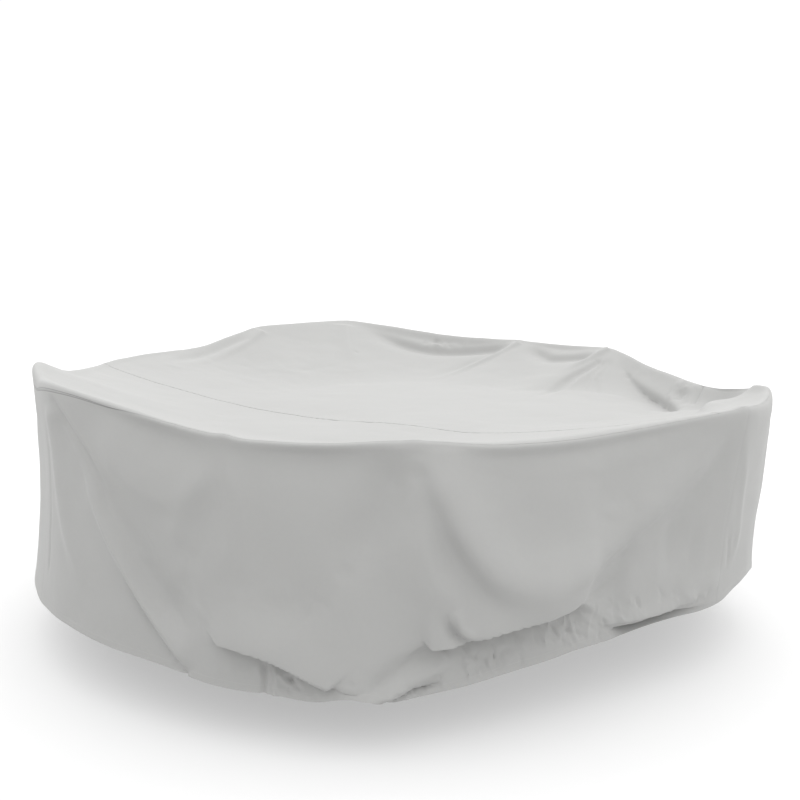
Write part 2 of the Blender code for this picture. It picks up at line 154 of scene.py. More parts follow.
@dataclass(frozen=True)
class Crease:
    """A fold along a smooth line on the cloth."""

    line: tuple[Pair, ...]  # azimuth and run on the skirt, azimuth and radius on the top
    rise: float  # height of its crest, negative for a valley
    left: float  # width of the flank on its left, seen from outside along the line
    right: float  # width of the flank on its right
    lip: float = 0.0  # how far its crest hangs down over what is below it
    flank: Flank = Flank.SOFT
    start: float = 0.3  # share of its length over which it grows from nothing
    end: float = 0.3  # share of its length over which it dies away
    reach: float = 3.2  # flank widths past which it no longer lifts the cloth
    crest: float = 0.35  # roundness of a crisp crest, in flank widths
    fall: float = 1.6  # how fast a crisp flank falls

    def smooth_line(self, points: Array, steps: int = 8) -> Array:
        """A smooth line through the given points.

        Args:
            points: Points in plane coordinates, one row each.
            steps: Pieces between two points.

        Returns:
            Points of the line, one row each.
        """
        if len(points) == 2:
            return np.linspace(points[0], points[1], steps + 1)
        padded = np.vstack([2 * points[0] - points[1], points, 2 * points[-1] - points[-2]])
        line = [points[:1]]
        for a, b, c, d in zip(padded[:-3], padded[1:-2], padded[2:-1], padded[3:]):
            s = np.linspace(0.0, 1.0, steps + 1)[1:, None]
            turn = 2 * b + (c - a) * s + (2 * a - 5 * b + 4 * c - d) * s**2 + (3 * b - a - 3 * c + d) * s**3
            line.append(turn / 2)
        return np.vstack(line)

    def strength(self, points: Array, across: Array, down: Array) -> tuple[Array, Array]:
        """How strongly the crease lifts each point of the cloth.

        Args:
            points: The points of the line in the same plane coordinates.
            across: First plane coordinate of each point of the cloth, to the right as seen from outside.
            down: Second plane coordinate of each point of the cloth, towards the eye or down.

        Returns:
            Share of its rise at each point, and the places in the arrays that it touches.
        """
        line = self.smooth_line(points)
        reach = self.reach * max(self.left, self.right)
        low, high = line.min(0) - reach, line.max(0) + reach
        near = (across > low[0]) & (across < high[0]) & (down > low[1]) & (down < high[1])
        touched = np.flatnonzero(near)
        x, y = across.ravel()[touched], down.ravel()[touched]
        nearest = np.full(len(x), np.inf)
        side = np.zeros(len(x))
        share = np.zeros(len(x))
        pieces = len(line) - 1
        for number, (a, b) in enumerate(zip(line[:-1], line[1:])):
            step = b - a
            length = max(float(step @ step), NEVER_ZERO)
            s = np.clip(((x - a[0]) * step[0] + (y - a[1]) * step[1]) / length, 0.0, 1.0)
            off_x, off_y = x - a[0] - s * step[0], y - a[1] - s * step[1]
            away = np.hypot(off_x, off_y)
            closer = away < nearest
            nearest = np.where(closer, away, nearest)
            side = np.where(closer, step[0] * off_y - step[1] * off_x, side)
            share = np.where(closer, (number + s) / pieces, share)
        width = np.where(side > 0.0, self.right, self.left)
        ratio = nearest / width
        if self.flank is Flank.SOFT:
            shape = np.exp(-(ratio**2))
        else:
            shape = np.exp(self.crest - np.sqrt(self.crest**2 + (self.fall * ratio) ** 2))
        return shape * self.grown(share, self.start) * self.grown(1.0 - share, self.end), touched

    @staticmethod
    def grown(share: Array, part: float) -> Array:
        """Growth from 0 to 1 over the first part of a length, or 1 where that part is nothing."""
        return smooth_step(share / part) if part else np.ones(len(share))


@dataclass(frozen=True)
class Crinkles:
    """A patch of short fine wrinkles, laid by a seeded draw."""

    centre: Pair  # azimuth and run on the skirt, azimuth and radius on the top
    size: Pair  # half extent along and down, in metres
    count: int
    length: Pair  # shortest and longest
    heading: float  # degrees of their lines, 0 along the rim and 90 straight down
    spread: float  # degrees either way
    rise: float
    width: float
    seed: int
    flank: Flank = Flank.CRISP
    scatter: float = 0.5  # spread of its wrinkles about the centre, as a share of the size
    bow: float = 0.35  # most that a line bows sideways, as a share of its half length
    rises: Pair = (0.4, 1.0)  # lowest and highest, as shares of the rise
    widths: Pair = (0.7, 1.3)  # narrowest and widest, as shares of the width

    def lines(self, middle: Pair) -> list[tuple[Array, float, float]]:
        """The wrinkles of the patch in plane coordinates.

        Args:
            middle: The patch's centre in plane coordinates.

        Returns:
            For each, the points of its line, its rise and its width.
        """
        draw = np.random.default_rng(self.seed)
        wrinkles = []
        for _ in range(self.count):
            place = np.array(middle) + draw.normal(0.0, self.scatter, 2) * np.array(self.size)
            heading = math.radians(self.heading + draw.uniform(-self.spread, self.spread))
            half = 0.5 * draw.uniform(*self.length)
            step = np.array([math.cos(heading), math.sin(heading)]) * half
            bow = np.array([-step[1], step[0]]) * draw.uniform(-self.bow, self.bow)
            rise = self.rise * draw.uniform(*self.rises) * draw.choice([1.0, -1.0])
            points = np.array([place - step, place + bow, place + step])
            wrinkles.append((points, rise, self.width * draw.uniform(*self.widths)))
        return wrinkles


class Unevenness:
    """Smooth random rise and fall of the cloth, the same at the same place in space."""

    def __init__(self, spacing: float, seed: int) -> None:
        """Draws the lattice.

        Args:
            spacing: Distance between the lattice's points, in metres.
            seed: Seed of the draw.
        """
        self.spacing = spacing
        self.side = 32  # points along each side of the lattice, which then repeats
        self.corner = 100.0  # steps from the lattice's corner to the origin
        self.values = np.random.default_rng(seed).uniform(-1.0, 1.0, (self.side,) * 3)

    def __call__(self, points: Array) -> Array:
        """Rise or fall of the cloth.

        Args:
            points: Places in space, one to a row.

        Returns:
            A value between -1 and 1 at each.
        """
        place = points / self.spacing + self.corner
        low = np.floor(place).astype(int)
        share = place - low
        share = share * share * (3.0 - 2.0 * share)
        total = np.zeros(points.shape[:-1])
        for corner in np.ndindex(2, 2, 2):
            at = (low + corner) % self.side
            weight = np.prod(np.where(np.array(corner) == 1, share, 1.0 - share), axis=-1)
            total += weight * self.values[at[..., 0], at[..., 1], at[..., 2]]
        return total


@dataclass(frozen=True)
class RimForm:
    """The rim: how far out and how high it stands all round."""

    # azimuth, radius, height above the ground
    rows: tuple[tuple[float, float, float], ...] = (
        (-166.0, 1.270, 0.922), (-152.0, 1.270, 0.915), (-139.0, 1.305, 0.930), (-127.7, 1.295, 0.912),
        (-119.5, 1.290, 0.884), (-109.2, 1.294, 0.853), (-98.0, 1.265, 0.844), (-87.1, 1.276, 0.854),
        (-76.8, 1.248, 0.838), (-66.0, 1.230, 0.838), (-54.0, 1.236, 0.849), (-40.0, 1.310, 0.862),
        (-36.7, 1.325, 0.862), (-26.0, 1.337, 0.854), (-15.3, 1.330, 0.862), (-7.0, 1.280, 0.824),
        (3.0, 1.213, 0.801), (17.0, 1.200, 0.806), (27.0, 1.218, 0.821), (39.0, 1.270, 0.846),
        (50.0, 1.245, 0.856), (61.6, 1.270, 0.848), (74.6, 1.270, 0.866), (85.0, 1.295, 0.888),
        (100.4, 1.350, 0.921), (111.0, 1.305, 0.919), (121.0, 1.290, 0.909), (136.0, 1.260, 0.838),
        (150.0, 1.290, 0.827), (157.0, 1.300, 0.820), (166.0, 1.270, 0.820), (175.0, 1.235, 0.838),
        (184.0, 1.240, 0.868),
    )
    # azimuth, rise and half width of the small point that stands at a high point
    horns: tuple[tuple[float, float, float], ...] = (
        (194.0, 0.005, 3.5), (-109.2, 0.005, 1.1), (-87.1, 0.003, 1.0), (-37.3, 0.004, 1.2),
        (-15.3, 0.003, 3.0), (39.0, 0.006, 3.0), (61.6, 0.004, 2.5), (100.4, 0.004, 3.0),
        (121.0, 0.005, 3.0),
    )
    roll: float = 0.045  # run on each side of the rim for which the radii and heights above are given
    # azimuth, and the runs inside and outside the rim over which the cloth bends over
    rolls: tuple[tuple[float, float, float], ...] = (
        (-152.0, 0.045, 0.050), (-139.0, 0.030, 0.040), (-130.0, 0.045, 0.085), (-119.0, 0.045, 0.085),
        (-109.2, 0.030, 0.035), (-98.0, 0.036, 0.040), (-87.1, 0.026, 0.030), (-78.0, 0.060, 0.090),
        (-64.0, 0.085, 0.130), (-50.0, 0.075, 0.110), (-37.3, 0.030, 0.035), (-26.0, 0.045, 0.080),
        (-15.3, 0.036, 0.040), (5.0, 0.040, 0.060), (25.0, 0.040, 0.060), (39.0, 0.030, 0.040),
        (50.0, 0.036, 0.050), (61.6, 0.030, 0.040), (80.0, 0.040, 0.060), (100.4, 0.036, 0.045),
        (121.0, 0.036, 0.045), (140.0, 0.045, 0.060), (157.0, 0.036, 0.045), (176.0, 0.045, 0.060),
    )
    # azimuth and depth of the hollow that runs just under the rim
    hollows: tuple[Pair, ...] = (
        (-150.0, 0.000), (-139.0, 0.000), (-130.0, 0.010), (-118.0, 0.024), (-109.2, 0.012),
        (-98.0, 0.024), (-87.1, 0.002), (-77.0, 0.018), (-62.0, 0.018), (-48.0, 0.010), (-37.0, 0.000),
        (-15.0, 0.000), (10.0, 0.008), (39.0, 0.001), (50.0, 0.006), (62.0, 0.001), (80.0, 0.008),
        (100.0, 0.000), (121.0, 0.001), (140.0, 0.008), (157.0, 0.001), (176.0, 0.005),
    )
    # azimuth, and 1 where the seam under the rim gets its painted shadow line, 0 where the rolled edge hides
    # it
    seam_shadow_shows: tuple[Pair, ...] = (
        (-166.0, 1.0), (-125.0, 1.0), (-118.0, 0.0), (-25.0, 0.0), (-10.0, 1.0), (100.0, 1.0),
    )


@dataclass(frozen=True)
class TopForm:
    """The top between its flat rest and the rim."""

    # azimuth, radius at which it starts to rise, depth of the steep lip inside the rim, run of that lip
    rows: tuple[tuple[float, float, float, float], ...] = (
        (-139.0, 0.66, 0.000, 0.08), (-98.0, 0.62, 0.000, 0.08), (-62.0, 0.49, 0.000, 0.08),
        (-37.0, 0.50, 0.000, 0.08), (-15.0, 0.78, 0.012, 0.08), (0.0, 0.98, 0.018, 0.09),
        (20.0, 0.96, 0.020, 0.09), (32.0, 0.84, 0.012, 0.07), (39.0, 0.68, 0.000, 0.06),
        (50.0, 0.66, 0.022, 0.05), (61.6, 0.64, 0.002, 0.05), (75.0, 0.64, 0.040, 0.06),
        (88.0, 0.64, 0.030, 0.07), (100.4, 0.62, 0.002, 0.06), (121.0, 0.60, 0.000, 0.06),
        (150.0, 0.54, 0.006, 0.06), (178.0, 0.54, 0.012, 0.08),
    )
    slope_power: float = 1.55
    # azimuth and run of the seam between top and skirt
    rim_seam: tuple[Pair, ...] = (
        (-165.0, 0.050), (-150.0, 0.042), (-141.0, 0.024), (-132.0, 0.010), (-127.0, 0.008),
        (-121.0, -0.012), (-110.0, -0.016), (-60.0, -0.014), (0.0, -0.012), (90.0, -0.012),
        (150.0, -0.010), (176.0, 0.020),
    )
    seam_left: Pair = (-1.180, 0.400)  # x and y of two points on the straight seam across the top
    seam_right: Pair = (0.460, -0.570)


@dataclass(frozen=True)
class SkirtForm:
    """The skirt from the rim down to the hem."""

    # azimuth, hem radius, hem height above the ground, waist (in or out at mid height),
    # height of the pouch's lower edge above the ground, how far the pouch hangs out
    rows: tuple[tuple[float, ...], ...] = (
        (-164.0, 1.300, 0.190, -0.022, 0.300, 0.000), (-152.0, 1.305, 0.190, -0.022, 0.300, 0.000),
        (-139.0, 1.312, 0.202, -0.010, 0.300, 0.000), (-128.0, 1.300, 0.194, -0.006, 0.300, 0.000),
        (-119.0, 1.285, 0.184, -0.004, 0.300, 0.000), (-112.0, 1.286, 0.165, 0.000, 0.300, 0.002),
        (-108.0, 1.276, 0.155, 0.000, 0.300, 0.014), (-104.5, 1.270, 0.154, 0.000, 0.288, 0.017),
        (-98.5, 1.274, 0.149, 0.000, 0.232, 0.016), (-94.0, 1.282, 0.175, 0.000, 0.200, 0.004),
        (-90.0, 1.262, 0.161, 0.000, 0.240, 0.000), (-86.5, 1.242, 0.157, 0.000, 0.310, 0.012),
        (-82.0, 1.233, 0.168, 0.000, 0.330, 0.025), (-74.0, 1.203, 0.188, 0.000, 0.361, 0.035),
        (-68.0, 1.192, 0.201, 0.000, 0.377, 0.037), (-64.0, 1.188, 0.212, 0.000, 0.360, 0.026),
        (-62.0, 1.187, 0.215, -0.002, 0.345, 0.007), (-59.6, 1.181, 0.214, -0.004, 0.300, 0.001),
        (-57.4, 1.180, 0.215, -0.008, 0.262, 0.003), (-55.0, 1.179, 0.218, -0.010, 0.256, 0.018),
        (-50.0, 1.185, 0.223, -0.016, 0.256, 0.024), (-44.0, 1.210, 0.225, -0.020, 0.258, 0.018),
        (-40.0, 1.240, 0.226, -0.016, 0.250, 0.008), (-36.5, 1.268, 0.235, -0.008, 0.260, 0.000),
        (-31.0, 1.288, 0.254, -0.008, 0.330, 0.000), (-26.0, 1.305, 0.264, -0.008, 0.400, 0.000),
        (-15.0, 1.312, 0.224, -0.010, 0.400, 0.000), (5.0, 1.240, 0.180, 0.004, 0.320, 0.020),
        (25.0, 1.225, 0.180, 0.004, 0.320, 0.020), (40.0, 1.265, 0.185, -0.006, 0.320, 0.000),
        (62.0, 1.265, 0.185, -0.006, 0.320, 0.000), (80.0, 1.240, 0.180, 0.006, 0.320, 0.026),
        (100.0, 1.320, 0.190, -0.008, 0.320, 0.000), (121.0, 1.285, 0.190, -0.008, 0.320, 0.000),
        (140.0, 1.245, 0.180, 0.004, 0.300, 0.026), (158.0, 1.285, 0.185, 0.000, 0.300, 0.006),
        (178.0, 1.262, 0.185, 0.000, 0.300, 0.010),
    )
    # azimuth, and the share of the pouch that is lost straight below its lower edge
    undercuts: tuple[Pair, ...] = (
        (-150.0, 0.55), (-113.0, 0.70), (-108.0, 2.30), (-98.5, 1.90), (-94.0, 0.90), (-86.0, 1.20),
        (-80.0, 2.30), (-62.0, 2.30), (-57.0, 3.00), (-44.0, 3.00), (-39.0, 0.80), (-26.0, 0.55),
        (180.0, 0.55),
    )
    tuck: float = 0.03  # height over which it is lost
    tuck_share: float = 0.4  # most of the height below that edge over which it is lost
    fullness: float = 0.8  # power of its fading upwards


@dataclass(frozen=True)
class Drape:
    """The surface of the hanging cloth."""

    rim: RimForm
    top: TopForm
    skirt: SkirtForm
    top_creases: tuple[Crease, ...]
    top_crinkles: tuple[Crinkles, ...]
    skirt_creases: tuple[Crease, ...]
    skirt_crinkles: tuple[Crinkles, ...]
    hollow_run: float = 0.055  # run at which the hollow under the rim is deepest
    # height, spacing and seed of the cloth's unevenness, from the broad one to the fine one
    uneven: tuple[tuple[float, float, int], ...] = ((0.0026, 0.17, 5), (0.0012, 0.075, 6), (0.0004, 0.030, 7))
    slope_step: float = 0.003  # run either way over which the cloth's slope is taken
    skirt_fade: float = 0.030  # run under the rim over which the skirt's creases begin
    top_fade: float = 0.022  # run inside the rim over which the top's creases begin

    def rim_radius(self, azimuth: Array) -> Array:
        """Radius of the corner that the roll cuts off."""
        return Round(self.rim.rows, 1)(azimuth) + self.rim.roll / 4.0

    def rim_height(self, azimuth: Array) -> Array:
        """Height of that corner above the ground.

        Args:
            azimuth: Where it is wanted.

        Returns:
            The height at each azimuth.
        """
        height = Round(self.rim.rows, 2)(azimuth) + self.rim.roll / 4.0
        for at, rise, half_width in self.rim.horns:
            apart = (azimuth - at + FULL_TURN / 2) % FULL_TURN - FULL_TURN / 2
            height = height + rise * np.exp(-((apart / half_width) ** 2))
        return height

    def seam_run(self, azimuth: Array) -> Array:
        """Run of the seam between top and skirt."""
        return Round(self.top.rim_seam, 1)(azimuth)

    def hidden(self, azimuth: Array) -> Array:
        """1 where the rolled edge hides that seam and its painted shadow line, and 0 where they show."""
        return 1.0 - Round(self.rim.seam_shadow_shows, 1)(azimuth)

    def drop(self, azimuth: Array) -> Array:
        """Height from the rim down to the hem."""
        return self.rim_height(azimuth) - Round(self.skirt.rows, 2)(azimuth)

    def top_section(self, azimuth: Array, run: Array) -> tuple[Array, Array]:
        """Shape of the plain top.

        Args:
            azimuth: Azimuth of each point.
            run: Run of each point, 0 at the rim and negative inside it.

        Returns:
            Radius, and height above the ground.
        """
        foot, lip_depth, lip_run = (Round(self.top.rows, column)(azimuth) for column in (1, 2, 3))
        rim = self.rim_radius(azimuth)
        radius = rim + run
        share = np.clip((radius - foot) / (rim - foot), 0.0, 1.0)
        rest = REST - GROUND
        rise = self.rim_height(azimuth) - rest
        lip = lip_depth * smooth_step(-run / lip_run) * share
        return radius, rest + rise * share**self.top.slope_power - lip

    def skirt_section(self, azimuth: Array, run: Array) -> tuple[Array, Array]:
        """Shape of the plain skirt.

        Args:
            azimuth: Azimuth of each point.
            run: Run of each point, 0 at the rim and positive below it.

        Returns:
            Radius, and height above the ground.
        """
        form = self.skirt
        hem_radius, hem_height, waist, edge, depth = (Round(form.rows, c)(azimuth) for c in range(1, 6))
        rim_height = self.rim_height(azimuth)
        share = run / (rim_height - hem_height)
        height = rim_height - run
        straight = self.rim_radius(azimuth) * (1.0 - share) + hem_radius * share
        above = (height - edge) / (rim_height - edge)
        below = (edge - height) / (edge - hem_height)
        reach = np.minimum(form.tuck, form.tuck_share * (edge - hem_height))
        tuck = Round(form.undercuts, 1)(azimuth) * smooth_step((edge - height) / reach)
        bulge = 1.0 - smooth_step(above) ** form.fullness
        tucked = (1.0 - tuck) * (1.0 - np.clip(below, 0.0, 1.0))
        pouch = np.where(above >= 0.0, bulge, tucked)
        return straight + 4.0 * waist * share * (1.0 - share) + depth * pouch, height

    def section(self, azimuth: Array, run: Array) -> tuple[Array, Array]:
        """Shape of the plain cloth, bending over the rim in a smooth roll.

        Args:
            azimuth: Azimuth of each point.
            run: Run of each point.

        Returns:
            Radius, and height above the ground.
        """
        before, after = Round(self.rim.rolls, 1)(azimuth), Round(self.rim.rolls, 2)(azimuth)
        top_side = self.top_section(azimuth, np.minimum(run, 0.0))
        skirt_side = self.skirt_section(azimuth, np.maximum(run, 0.0))
        # the bend's own share at which it has covered this much run
        covered = np.clip(run, -before, after) + before
        share = covered / (before + np.sqrt(before**2 + (after - before) * covered))
        inner = self.top_section(azimuth, -before)
        outer = self.skirt_section(azimuth, after)
        corner = (
            self.rim_radius(azimuth) + (before - self.rim.roll) / 4.0,
            self.rim_height(azimuth) + (after - self.rim.roll) / 4.0,
        )
        found = []
        for axis in (0, 1):
            rolled = (1 - share) ** 2 * inner[axis] + 2 * share * (1 - share) * corner[axis]
            rolled = rolled + share**2 * outer[axis]
            outside = np.where(run >= after, skirt_side[axis], rolled)
            found.append(np.where(run <= -before, top_side[axis], outside))
        return found[0], found[1]

    def skirt_relief(self, azimuth: Array, run: Array) -> tuple[Array, Array]:
        """Relief of the skirt's creases.

        Args:
            azimuth: Azimuth of each point.
            run: Run of each point.

        Returns:
            How far they stand out, and how far they hang down over what is below them.
        """
        turned = (azimuth - COUNTED_FROM) % FULL_TURN + COUNTED_FROM
        across = np.asarray(along_rim(turned))
        lift, lip = np.zeros(across.size), np.zeros(across.size)
        for crease in self.skirt_creases:
            points = np.array([(along_rim(a), r) for a, r in crease.line])
            share, touched = crease.strength(points, across, run)
            lift[touched] += crease.rise * share
            lip[touched] += crease.lip * share
        for patch in self.skirt_crinkles:
            middle = (float(along_rim(patch.centre[0])), patch.centre[1])
            self.add_crinkles(patch, middle, across, run, lift)
        fade = smooth_step(run / self.skirt_fade)
        return lift.reshape(across.shape) * fade, lip.reshape(across.shape) * fade

    def top_relief(self, run: Array, x: Array, y: Array) -> Array:
        """Relief of the top's creases.

        Args:
            run: Run of each point.
            x: Plan coordinates of each point of the plain cloth.
            y: The same.

        Returns:
            How far they stand up.
        """
        lift = np.zeros(x.size)
        for crease in self.top_creases:
            points = np.array([in_plan(a, r) for a, r in crease.line]) * np.array([1.0, -1.0])
            share, touched = crease.strength(points, x, -y)
            lift[touched] += crease.rise * share
        for patch in self.top_crinkles:
            middle_x, middle_y = in_plan(*patch.centre)
            self.add_crinkles(patch, (float(middle_x), -float(middle_y)), x, -y, lift)
        return lift.reshape(x.shape) * smooth_step(-run / self.top_fade)

    def add_crinkles(self, patch: Crinkles, middle: Pair, across: Array, down: Array, lift: Array) -> None:
        """Adds a patch of fine wrinkles to a relief.

        Args:
            patch: The patch.
            middle: Its centre in plane coordinates.
            across: First plane coordinate of each point of the cloth.
            down: Second plane coordinate.
            lift: The relief that it is added to.
        """
        for points, rise, width in patch.lines(middle):
            wrinkle = Crease(((0.0, 0.0),), rise, width, width, flank=patch.flank, start=0.5, end=0.5)
            share, touched = wrinkle.strength(points, across, down)
            lift[touched] += rise * share

    def points(self, azimuth: Array, run: Array, sink: Array | float = 0.0) -> Array:
        """Points of the cloth's outer face.

        Args:
            azimuth: Azimuth of each point.
            run: Run of each point.
            sink: How far each lies under the drape, as where another panel laps over it.

        Returns:
            Points in the part's frame, one to a row.
        """
        radius, height = self.section(azimuth, run)
        ahead = self.section(azimuth, run + self.slope_step)
        behind = self.section(azimuth, run - self.slope_step)
        slope = np.stack([ahead[0] - behind[0], ahead[1] - behind[1]])
        slope = slope / np.maximum(np.hypot(slope[0], slope[1]), NEVER_ZERO)
        x, y = in_plan(azimuth, radius)
        lift, lip = self.skirt_relief(azimuth, run)
        lift = lift + self.top_relief(run, x, y)
        plain = np.stack([x, y, height], axis=-1)
        for most, spacing, seed in self.uneven:
            lift = lift + most * Unevenness(spacing, seed)(plain)
        below = np.maximum(run, 0.0) / self.hollow_run
        lift = lift - Round(self.rim.hollows, 1)(azimuth) * below**2 * np.exp(2.0 - 2.0 * below)
        lift = lift - sink
        radius = radius - slope[1] * lift + slope[0] * lip
        height = height + slope[0] * lift + slope[1] * lip
        x, y = in_plan(azimuth, radius)
        return np.stack([x, y, height + GROUND], axis=-1)


